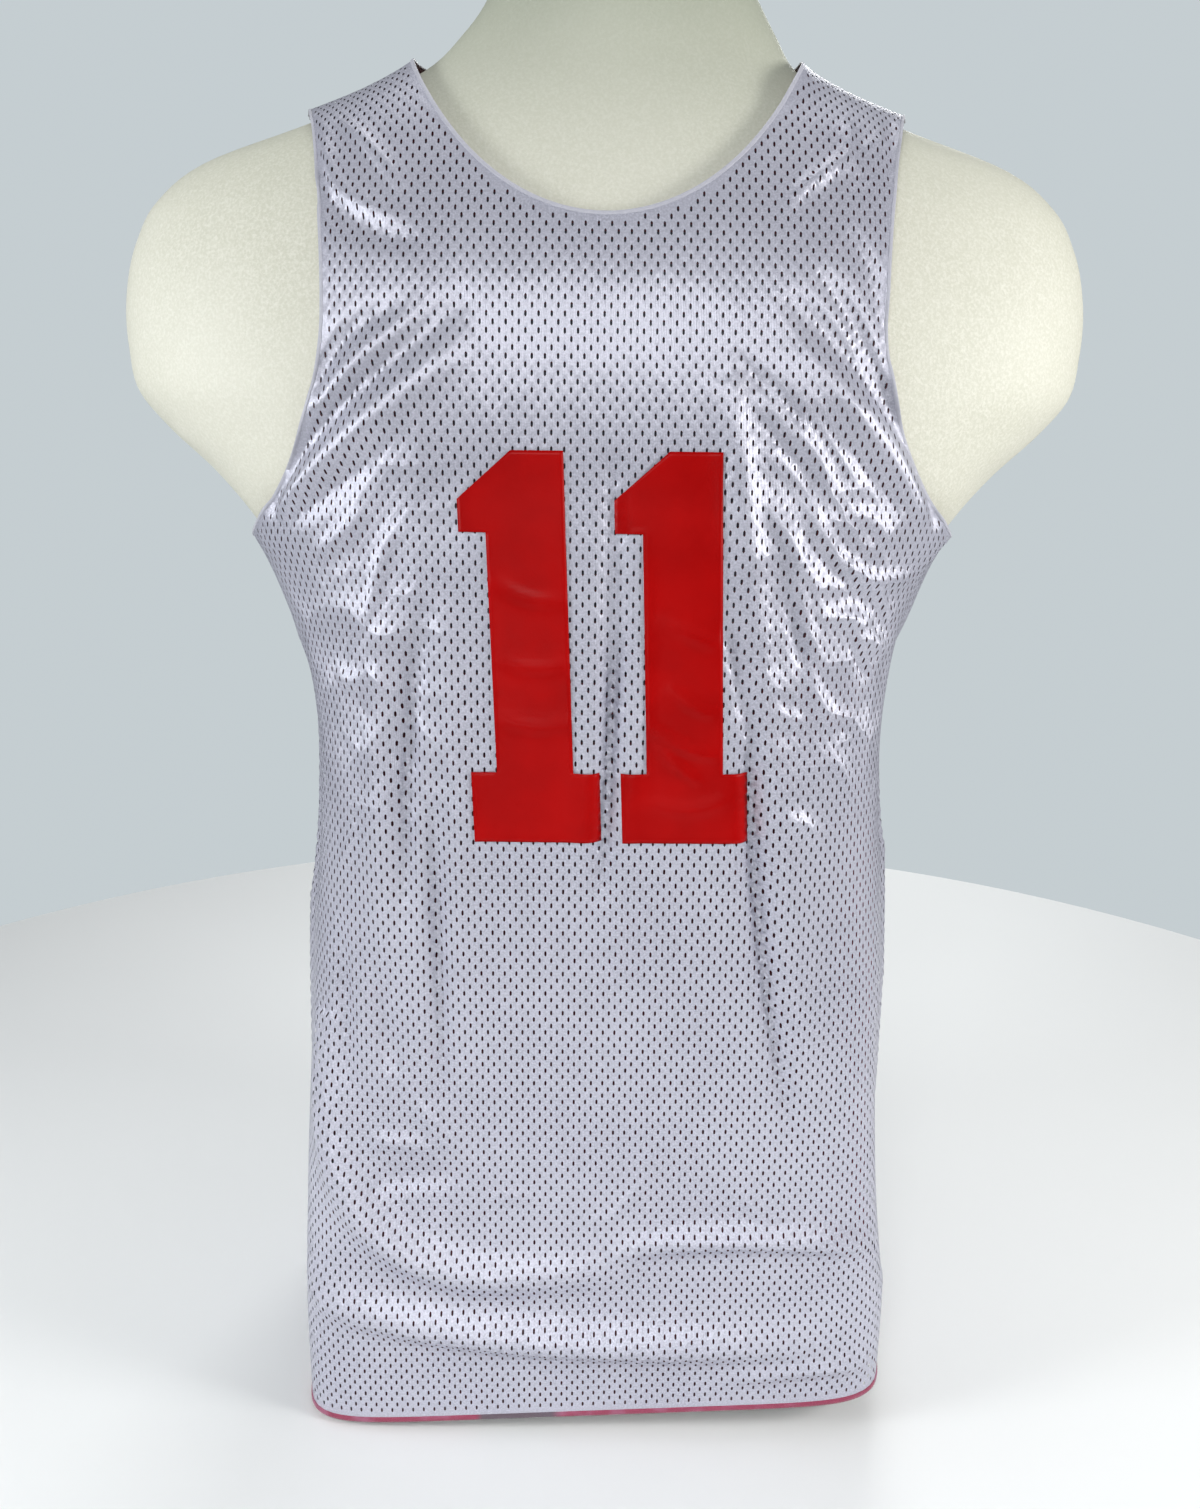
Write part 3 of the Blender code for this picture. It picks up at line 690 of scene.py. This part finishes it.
def edge_band(name, parts, step, profile, ripple, material):
    """A band along an edge that runs round front and back. Its section is a closed profile of insets
    from the edge and lifts off the cloth, and ripple says how far threads along it stand out.
    """
    rings, uvs, gone = [], [], 0.0
    inset, lift = profile.T
    for worn, line in parts:
        line = evenly(line, step)
        run = gone + run_of(line[:, 0], line[:, 1])
        flat = line[:, None] + inward(line)[:, None] * inset[:, None]
        flat[..., 0] = np.clip(flat[..., 0], -HALF_CHEST, HALF_CHEST)
        u, v = flat.reshape(-1, 2).T
        swell = 1 + ripple(run)[:, None] * np.ones_like(lift)
        points = worn.place(u, v, worn.creased(u, v) + (lift * swell).ravel())
        rings.append(points.reshape(len(line), len(profile), 3)[:-1])
        across = np.broadcast_to(np.arange(len(profile)) / len(profile) * 0.02, swell.shape)
        uvs.append(np.stack([np.broadcast_to(run[:, None] / 2.5, swell.shape), across], axis=-1)[:-1])
        gone = run[-1]
    points = np.concatenate(rings)
    faces = wrapped_grid(points.shape[0], points.shape[1], True)
    return make_piece(
        name, points.reshape(-1, 3), [faces], material, np.concatenate(uvs).reshape(-1, 2)
    )


def oval(inset_from, inset_to, half_thickness, count, lift=0.0):
    """A flattened oval section: insets between two values, lifts of up to half_thickness either way."""
    angle = np.arange(count) * 2 * pi / count
    middle, reach = (inset_from + inset_to) / 2, (inset_to - inset_from) / 2
    squash = np.sign(np.cos(angle)) * np.abs(np.cos(angle)) ** 0.7
    return np.stack([middle + reach * squash, lift + half_thickness * np.sin(angle)], axis=1)


def seam_cord(name, path, normals, material):
    """A low rounded seam along a worn line, closed at both ends, with a small pucker along it."""
    along = np.gradient(path, axis=0)
    along /= np.linalg.norm(along, axis=1)[:, None]
    across = np.cross(along, normals)
    count = 8
    angle = np.arange(count) * 2 * pi / count
    run = run_of(*path.T)
    swell = 1 + 0.18 * np.sin(run * 2 * pi / SEAM_STITCH)
    ring = (
        path[:, None]
        + across[:, None] * (SEAM_HALF_WIDTH * np.cos(angle))[:, None] * swell[:, None, None]
        + normals[:, None] * (SEAM_HALF_HEIGHT * np.sin(angle))[:, None] * swell[:, None, None]
    )
    rows = len(path)
    points = np.concatenate([ring.reshape(-1, 3), path[:1], path[-1:]])
    faces = [wrapped_grid(rows, count, False), *end_fans(rows, count)]
    around = np.tile(np.arange(count) / count * 0.02, rows)
    uv = np.concatenate([np.stack([np.repeat(run, count), around], axis=1), [[0, 0], [run[-1], 0]]])
    return make_piece(name, points, faces, material, uv)


def numeral_points():
    """The flat grid of a block numeral 1: a foot, a stem and a flag, whose top slopes to the left."""
    step = 0.0022

    def steps(a, b):
        return np.linspace(a, b, max(2, int(round((b - a) / step)) + 1))

    top_parts = ((-FLAG_OUT, -STEM_HALF), (-STEM_HALF, -TOP_LEFT), (-TOP_LEFT, STEM_HALF))
    top_u = np.unique(np.concatenate([steps(*part) for part in top_parts]))
    stem_u = top_u[top_u >= -STEM_HALF - 1e-9]
    foot_u = np.unique(np.concatenate([steps(-FOOT_HALF, -STEM_HALF), stem_u, steps(STEM_HALF, FOOT_HALF)]))
    flag_v = NUMERAL_HEIGHT - FLAG_BOTTOM
    blocks = (
        (foot_u, steps(0, FOOT_HEIGHT)),
        (stem_u, steps(FOOT_HEIGHT, flag_v)),
        (top_u, steps(flag_v, NUMERAL_HEIGHT)),
    )
    points, quads, first = [], [], 0
    for us, vs in blocks:
        u, v = np.meshgrid(us, vs, indexing="ij")
        if us is top_u:
            slope = np.clip((-u - TOP_LEFT) / (FLAG_OUT - TOP_LEFT), 0, 1)
            v = flag_v + (v - flag_v) * (1 - slope * FLAG_TOP / FLAG_BOTTOM)
        i, j = np.meshgrid(np.arange(len(us) - 1), np.arange(len(vs) - 1), indexing="ij")
        a = first + (i * len(vs) + j).ravel()
        quads.append(np.stack([a, a + len(vs), a + len(vs) + 1, a + 1], axis=1))
        points.append(np.stack([u.ravel(), v.ravel()], axis=1))
        first += u.size
    return np.concatenate(points), np.concatenate(quads)


def change_mesh(piece, change):
    """Runs a change, a function of an open mesh, on a piece."""
    bm = bmesh.new()
    bm.from_mesh(piece.data)
    change(bm)
    bm.to_mesh(piece.data)
    bm.free()


def join_touching(bm):
    """Joins points that lie on each other, where two grids meet."""
    bmesh.ops.remove_doubles(bm, verts=bm.verts, dist=WELD_DISTANCE)


def face_outwards(bm):
    bmesh.ops.recalc_face_normals(bm, faces=bm.faces)


def print_numeral(node, centre_u, worn, material):
    """A block numeral printed on the front: its grid laid just above the creased cloth."""
    flat, quads = numeral_points()
    leaning = np.stack([np.tan(radians(NUMERAL_LEAN)) * flat[:, 1], 0 * flat[:, 1]], axis=1)
    flat = flat + (centre_u, NUMERAL_BASE) - leaning
    u, v = flat.T
    points = worn.place(u, v, worn.creased(u, v) + PRINT_LIFT)
    piece = make_piece("print_" + node, points, [quads], material, cloth_uv(flat))
    change_mesh(piece, join_touching)
    film = piece.modifiers.new("film", "SOLIDIFY")
    film.thickness = PRINT_THICKNESS
    film.offset = 1
    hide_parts(node)
    return piece


def make_form(material):
    """The torso form: rings of a superellipse whose sizes follow the table of sections, from a flat
    base to a flat neck with a rounded edge, closed in the middle of both."""
    around = 144
    climb = np.linspace(0.0, 0.855, 240)
    neck_heights = (0.857, 0.859, 0.861, 0.862, 0.863, 0.863)
    neck_shares = (0.985, 0.972, 0.945, 0.905, 0.84, 0.42)
    heights = np.concatenate([(0.0, 0.0), climb, neck_heights])
    share = np.concatenate([(0.5, 0.992), np.ones_like(climb), neck_shares])
    half_width, front, back, power = at_heights(FORM_SECTIONS, np.minimum(heights, 0.860))
    angle = np.arange(around) * 2 * pi / around
    sine, cosine = np.sin(angle), np.cos(angle)
    size = (np.abs(sine) ** power[:, None] + np.abs(cosine) ** power[:, None]) ** (1 / power[:, None])
    depth = np.where(cosine > 0, front[:, None], back[:, None])
    x = (share * half_width)[:, None] * sine / size
    y = -share[:, None] * depth * cosine / size
    z = np.repeat(heights[:, None], around, axis=1)
    x = x + LEAN * ease_in((z - LEAN_FROM) / (LEAN_TO - LEAN_FROM))
    rings = np.stack([x, y, z], axis=-1).reshape(-1, 3)
    rows = len(heights)
    points = np.concatenate([rings, [[0, 0, 0], [LEAN, 0, heights[-1]]]])
    faces = [wrapped_grid(rows, around, False)[:, ::-1], *end_fans(rows, around)]
    piece = make_piece("form_shell", points, faces, material)
    change_mesh(piece, face_outwards)
    piece.data.set_sharp_from_angle(angle=radians(50))
    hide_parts("torso_form")
    return piece


# -------------------- materials


class Nodes:
    """A material's node tree, with short calls to add and link nodes."""

    def __init__(self, name, **sockets):
        self.material = bpy.data.materials.new(name)
        self.material.use_nodes = True
        self.tree = self.material.node_tree
        self.shader = self.tree.nodes["Principled BSDF"]
        for socket, value in sockets.items():
            self.shader.inputs[socket.replace("_", " ")].default_value = value

    def add(self, kind, inputs=None, **settings):
        node = self.tree.nodes.new(kind)
        for name, value in settings.items():
            setattr(node, name, value)
        for socket, value in (inputs or {}).items():
            if isinstance(value, bpy.types.NodeSocket):
                self.tree.links.new(value, node.inputs[socket])
            else:
                node.inputs[socket].default_value = value
        return node

    def math(self, operation, a, b=0.0, c=0.0):
        node = self.add("ShaderNodeMath", {0: a, 1: b, 2: c}, operation=operation)
        return node.outputs[0]

    def mix(self, share, a, b):
        """Colour a where share is 0, b where it is 1."""
        return self.add("ShaderNodeMix", {0: share, 6: a, 7: b}, data_type="RGBA").outputs[2]

    def product(self, first, *others):
        for other in others:
            first = self.math("MULTIPLY", first, other)
        return first

    def rest(self, share):
        """1 less the share."""
        return self.math("SUBTRACT", 1.0, share)

    def split(self, vector):
        return self.add("ShaderNodeSeparateXYZ", {0: vector}).outputs

    def on_piece(self):
        """The place on the piece, in metres."""
        return self.add("ShaderNodeTexCoord").outputs["Object"]

    def between(self, value, low, high):
        """low where value is 0, high where it is 1."""
        inputs = {"Value": value, "To Min": low, "To Max": high}
        return self.add("ShaderNodeMapRange", inputs).outputs[0]

    def noise(self, where, scale, detail=3.0, roughness=0.5):
        inputs = {"Vector": where, "Scale": scale, "Detail": detail, "Roughness": roughness}
        return self.add("ShaderNodeTexNoise", inputs).outputs["Fac"]

    def bump(self, height, distance, strength=1.0, below=None):
        inputs = {"Height": height, "Distance": distance, "Strength": strength}
        if below is not None:
            inputs["Normal"] = below
        return self.add("ShaderNodeBump", inputs).outputs["Normal"]

    def ramp(self, value, low, high):
        """0 where value is below low, 1 above high."""
        inputs = {"Value": value, "From Min": low, "From Max": high}
        return self.add("ShaderNodeMapRange", inputs, interpolation_type="SMOOTHSTEP").outputs[0]

    def set(self, **sockets):
        for socket, value in sockets.items():
            self.tree.links.new(value, self.shader.inputs[socket.replace("_", " ")])
        return self.material


def knit(nodes):
    """The cloth's own coordinates, and the height of its knit: pillows between the slits and fine ribs."""
    uv = nodes.add("ShaderNodeUVMap", uv_map="cloth").outputs["UV"]
    split = nodes.split(uv)
    across = nodes.product(nodes.math("SUBTRACT", split["X"], UV_SHIFT[0]), pi / STEP_U)
    up = nodes.product(nodes.math("SUBTRACT", split["Y"], UV_SHIFT[1]), pi / STEP_V)
    wave = nodes.product(nodes.math("COSINE", across), nodes.math("COSINE", up))
    ribs = nodes.math("SINE", nodes.product(split["X"], 2 * pi / RIB_PITCH))
    height = nodes.math("ADD", nodes.product(wave, -0.5), nodes.product(ribs, 0.16))
    return uv, wave, height


def crinkles(nodes, uv):
    """Small flat facets with sharp edges between them, strongest on the chest beside the numerals."""
    bent = nodes.add("ShaderNodeTexNoise", {"Vector": uv, "Scale": 16.0, "Detail": 2.0}).outputs["Color"]
    offset = nodes.add("ShaderNodeVectorMath", {0: bent, "Scale": 0.05}, operation="SCALE").outputs[0]
    where = nodes.add("ShaderNodeVectorMath", {0: uv, 1: offset}, operation="ADD").outputs[0]
    inputs = {"Vector": where, "Scale": 34.0, "Randomness": 1.0}
    facets = nodes.add("ShaderNodeTexVoronoi", inputs, feature="F1").outputs["Distance"]
    split = nodes.split(uv)
    from_centre = nodes.math("ABSOLUTE", nodes.math("SUBTRACT", split["X"], UV_SHIFT[0]))
    beside = nodes.ramp(from_centre, 0.055, 0.10)
    below = nodes.rest(nodes.ramp(split["Y"], 0.60, 0.70))
    above = nodes.ramp(split["Y"], 0.34, 0.48)
    patchy = nodes.ramp(nodes.noise(uv, 9.0, 2.0), 0.42, 0.62)
    strong = nodes.math("MULTIPLY_ADD", nodes.product(beside, below, above, patchy), 0.85, 0.15)
    return nodes.product(facets, strong)


def white_mesh():
    """White satin knit with a cloudy tint, fine specks and crumpled facets."""
    nodes = Nodes("white_mesh_cloth", Metallic=0.26, Specular_IOR_Level=1.0)
    uv, _, height = knit(nodes)
    cloudy = nodes.noise(uv, 14.0, 4.0)
    fine = nodes.noise(uv, 900.0, 2.0)
    colour = nodes.mix(nodes.ramp(cloudy, 0.3, 0.7), (0.39, 0.39, 0.47, 1), (0.45, 0.45, 0.53, 1))
    worn = nodes.mix(nodes.ramp(fine, 0.35, 0.75), colour, (0.53, 0.53, 0.62, 1))
    rough = nodes.between(fine, 0.34, 0.42)
    crumpled = nodes.bump(crinkles(nodes, uv), 0.0036, 1.0)
    soft = nodes.bump(height, 0.0004, 0.5, crumpled)
    normal = nodes.bump(fine, 0.0003, 0.3, soft)
    return nodes.set(Base_Color=worn, Roughness=rough, Normal=normal)


def red_mesh():
    """The lining is painted dark red as shade, and its holes, which lie behind the outer ones, are painted
    near-black as shade. Low at one side it touches the outer layer and shows its own red.
    """
    nodes = Nodes("red_mesh_cloth", Roughness=0.5, Sheen_Weight=0.15)
    uv, wave, height = knit(nodes)
    fine = nodes.noise(uv, 900.0, 2.0)
    split = nodes.split(uv)
    beside, above = nodes.ramp(split["X"], 0.62, 0.68), nodes.ramp(split["Y"], 0.12, 0.20)
    below = nodes.rest(nodes.ramp(split["Y"], 0.38, 0.48))
    touching = nodes.product(beside, above, below, 0.75)
    # painted shade: the lining's red darkened nearly to black, left at full red only where it touches
    shaded = nodes.mix(fine, (0.060, 0.003, 0.008, 1), (0.100, 0.005, 0.014, 1))
    cloth = nodes.mix(touching, shaded, (0.42, 0.015, 0.05, 1))
    # painted shade: near-black where the lining's holes would open onto the dim inside
    hole = nodes.product(nodes.ramp(wave, 0.66, 0.82), nodes.rest(touching))
    colour = nodes.mix(hole, cloth, (0.010, 0.008, 0.020, 1))
    return nodes.set(Base_Color=colour, Normal=nodes.bump(height, 0.0004, 0.6))


def rim_cloth():
    """The turned edges: the white cloth's tint without its slits."""
    nodes = Nodes("rim_cloth", Roughness=0.5, Sheen_Weight=0.25)
    where = nodes.on_piece()
    fine = nodes.noise(where, 700.0, 3.0)
    colour = nodes.mix(fine, (0.40, 0.40, 0.47, 1), (0.52, 0.52, 0.58, 1))
    return nodes.set(Base_Color=colour, Normal=nodes.bump(fine, 0.0005, 0.5))


def overlock_thread():
    """Crimson threads over the hem. One stretch of the front, by the wearer's right, is painted dark grey
    as shade, where the edge is rolled under and only its shadow shows.
    """
    nodes = Nodes("overlock_thread", Roughness=0.6, Sheen_Weight=0.3)
    where = nodes.on_piece()
    split = nodes.split(where)
    fine = nodes.noise(where, 1500.0, 2.0)
    patch = nodes.noise(where, 60.0, 2.0)
    thread = nodes.mix(fine, (0.16, 0.010, 0.040, 1), (0.32, 0.035, 0.09, 1))
    faded = nodes.mix(nodes.ramp(patch, 0.45, 0.7), thread, (0.30, 0.09, 0.16, 1))
    # painted shade: a dark stretch of the front hem stands in for the shadow of the rolled-under edge
    starts = nodes.ramp(split["X"], -0.071, -0.066)
    ends = nodes.rest(nodes.ramp(split["X"], -0.026, -0.018))
    in_front = nodes.math("LESS_THAN", split["Y"], 0.0)
    grey = nodes.product(starts, ends, in_front, 0.85)
    colour = nodes.mix(grey, faded, (0.06, 0.065, 0.08, 1))
    return nodes.set(Base_Color=colour, Normal=nodes.bump(fine, 0.0004, 0.5))


def red_print():
    """A thin rubbery film. The cloth's slits and knit show through it faintly."""
    nodes = Nodes("red_print", Specular_IOR_Level=0.10)
    uv, wave, _ = knit(nodes)
    cloudy = nodes.noise(uv, 30.0, 4.0)
    fine = nodes.noise(uv, 1200.0, 2.0)
    colour = nodes.mix(nodes.ramp(cloudy, 0.3, 0.7), (0.32, 0.0, 0.0, 1), (0.38, 0.0, 0.0, 1))
    specks = nodes.product(nodes.ramp(fine, 0.6, 0.8), 0.3)
    speckled = nodes.mix(specks, colour, (0.47, 0.003, 0.003, 1))
    rough = nodes.between(cloudy, 0.30, 0.46)
    slits = nodes.bump(nodes.ramp(wave, 0.80, 0.95), 0.0002, -0.25)
    return nodes.set(Base_Color=speckled, Roughness=rough, Normal=nodes.bump(fine, 0.0002, 0.3, slits))


def form_finish():
    """Cream paint over a fine grain, a little worn, with a scuff on each shoulder cap. Painted shade
    darkens it to a dull green towards the top of the neck.
    """
    nodes = Nodes("form_cream", Roughness=0.55)
    where = nodes.on_piece()
    cloudy = nodes.noise(where, 7.0, 4.0)
    fine = nodes.noise(where, 650.0, 3.0, 0.65)
    colour = nodes.mix(nodes.ramp(cloudy, 0.3, 0.7), (0.62, 0.615, 0.51, 1), (0.68, 0.67, 0.57, 1))
    speckled = nodes.mix(nodes.ramp(fine, 0.35, 0.75), colour, (0.76, 0.75, 0.66, 1))
    # painted shade: darker and greener from the shoulders up to the top of the neck
    neck = nodes.ramp(nodes.split(where)["Z"], 0.66, 0.86)
    speckled = nodes.mix(neck, speckled, (0.33, 0.36, 0.28, 1))
    scuffs = ((-0.2575, -0.055, 0.650, 0.0030), (0.194, -0.062, 0.600, 0.0022))
    for x, y, z, radius in scuffs:
        ends = {0: where, 1: (x, y, z)}
        away = nodes.add("ShaderNodeVectorMath", ends, operation="DISTANCE").outputs["Value"]
        ragged = nodes.math("ADD", away, nodes.product(nodes.math("SUBTRACT", fine, 0.5), radius))
        spot = nodes.rest(nodes.ramp(ragged, 0.5 * radius, radius))
        speckled = nodes.mix(nodes.product(spot, 0.75), speckled, (0.16, 0.12, 0.06, 1))
    rough = nodes.between(fine, 0.45, 0.7)
    return nodes.set(Base_Color=speckled, Roughness=rough, Normal=nodes.bump(fine, 0.0006, 0.35))


def pale_floor():
    nodes = Nodes("pale_floor", Roughness=0.7)
    where = nodes.on_piece()
    cloudy = nodes.noise(where, 2.0, 3.0)
    return nodes.set(Base_Color=nodes.mix(cloudy, (0.78, 0.79, 0.79, 1), (0.82, 0.83, 0.83, 1)))


# -------------------- the jersey


def lay_cloth(name, worn, with_slits, depth, material, node):
    """One layer of a panel, laid on the guide surface with its creases."""
    edges = cut_edges(worn)
    flat, triangles, quads = cloth_lattice(edges, with_slits)
    u, v = flat.T
    points = worn.place(u, v, worn.creased(u, v) - depth(v))
    piece = make_piece(name, points, [triangles, quads], material, cloth_uv(flat))
    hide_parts(node)
    return piece


def flat_area(worn):
    """The area inside a panel's outline, by the shoelace formula."""
    u, v = outline_of(cut_edges(worn)).T
    return 0.5 * abs(np.dot(u, np.roll(v, -1)) - np.dot(v, np.roll(u, -1)))


def make_jersey():
    """Two layers front and back, then rims, hem, seams and print."""
    white, red, rim, thread, film = white_mesh(), red_mesh(), rim_cloth(), overlock_thread(), red_print()
    front, back = WornSide("front"), WornSide("back")
    cut = {side.side: cut_edges(side) for side in (front, back)}
    for worn in (front, back):
        side = worn.side
        lay_cloth(
            side + "_cloth", worn, True, np.zeros_like, white, side + "_outer"
        )
        lay_cloth(
            side + "_lining", worn, False, lining_depth, red, side + "_inner"
        )

    turned = oval(-RIM_OVERHANG, RIM_WIDTH, RIM_THICKNESS / 2, 12)

    def pucker(run):
        return 0.10 * np.sin(run * 2 * pi / 0.0064) + 0.06 * np.sin(run * 2 * pi / 0.021)

    def both(on_front, on_back):
        return (front, cut["front"][on_front]), (back, cut["back"][on_back])

    rim_edges = {
        "neck_rim": ("neck", "neck"),
        "armhole_rim_left": ("right_armhole", "left_armhole"),
        "armhole_rim_right": ("left_armhole", "right_armhole"),
    }
    rims = [
        edge_band(name, both(*edges), RIM_STEP, turned, pucker, rim)
        for name, edges in rim_edges.items()
    ]

    def threads(run):
        return 0.22 * np.abs(np.sin(run * pi / STITCH)) - 0.1

    overlocked = oval(-HEM_OVERHANG, HEM_BAND - HEM_OVERHANG, HEM_HALF_THICKNESS, 10, -HEM_DROP)
    hem = edge_band(
        "hem_overlock", both("hem", "hem"), HEM_STEP, overlocked, threads, thread
    )

    for side, sign in (("left", 1), ("right", -1)):
        v = np.linspace(0.003, PIT_LENGTH - 0.002, 320)
        path = front.place(np.full_like(v, sign * HALF_CHEST), v, np.zeros_like(v))
        seam_cord("side_seam_" + side, path, outward(path), rim)
        u = sign * np.linspace(NECK_HALF_WIDTH + 0.002, SHOULDER_TIP - 0.002, 50)
        path = front.place(u, front.crest_at(u), np.zeros_like(u))
        seam_cord("shoulder_seam_" + side, path, outward(path), rim)

    prints = [print_numeral(node, centre_u, front, film) for node, centre_u in NUMERALS]
    for worn in (front, back):
        for layer in ("outer", "inner"):
            float(flat_area(worn))


# -------------------- floor, lights, camera


def area_light(name, place, aim, size, power, colour, spread):
    """A rectangular lamp that points at aim and stays unseen."""
    lamp = bpy.data.lights.new(name, "AREA")
    lamp.shape = "RECTANGLE"
    lamp.size, lamp.size_y = size
    lamp.energy = power
    lamp.color = colour
    lamp.spread = radians(spread)
    light = bpy.data.objects.new(name, lamp)
    light.visible_camera = False
    light.location = place
    light.rotation_euler = (Vector(aim) - Vector(place)).to_track_quat("-Z", "Y").to_euler()
    bpy.context.scene.collection.objects.link(light)


def set_stage():
    """A plain pale floor, soft lamps above and beside, and a pale surround."""
    angle = np.arange(128) * 2 * pi / 128
    ring = np.stack([np.cos(angle), np.sin(angle)], axis=1) * FLOOR_RADIUS
    floor_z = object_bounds()[0][2] - FLOOR_GAP
    mesh = bpy.data.meshes.new("floor")
    mesh.from_pydata([(x, y, floor_z) for x, y in ring], [], [tuple(range(128))])
    mesh.materials.append(pale_floor())
    floor = bpy.data.objects.new("floor", mesh)
    bpy.context.scene.collection.objects.link(floor)
    surround()
    for lamp in LAMPS:
        area_light(*lamp)


def surround():
    """A plain pale surround, which lights the scene less than it shows."""
    world = bpy.data.worlds.new("surround")
    world.use_nodes = True
    tree = world.node_tree
    seen = tree.nodes.new("ShaderNodeLightPath").outputs["Is Camera Ray"]
    strength = tree.nodes.new("ShaderNodeMapRange")
    strength.inputs["To Min"].default_value = SURROUND_LIGHT
    strength.inputs["To Max"].default_value = SURROUND_SHOWN
    tree.links.new(seen, strength.inputs["Value"])
    background = tree.nodes["Background"]
    background.inputs["Color"].default_value = (0.90, 0.99, 1.03, 1)
    tree.links.new(strength.outputs[0], background.inputs["Strength"])
    bpy.context.scene.world = world
    bpy.context.scene.view_settings.view_transform = "Standard"


def set_camera():
    """A camera close in front, a little above the numerals, tipped down and slightly rolled."""
    lens = bpy.data.cameras.new("camera")
    lens.lens = FOCAL_LENGTH
    lens.sensor_width = 36.0
    lens.clip_start = 0.02
    camera = bpy.data.objects.new("camera", lens)
    tipped = Matrix.Rotation(radians(CAMERA_TIP), 4, "X") @ Matrix.Rotation(radians(CAMERA_ROLL), 4, "Z")
    camera.matrix_world = Matrix.Translation(CAMERA_PLACE) @ tipped
    bpy.context.scene.collection.objects.link(camera)
    bpy.context.scene.camera = camera


make_form(form_finish())
make_jersey()
set_stage()
set_camera()
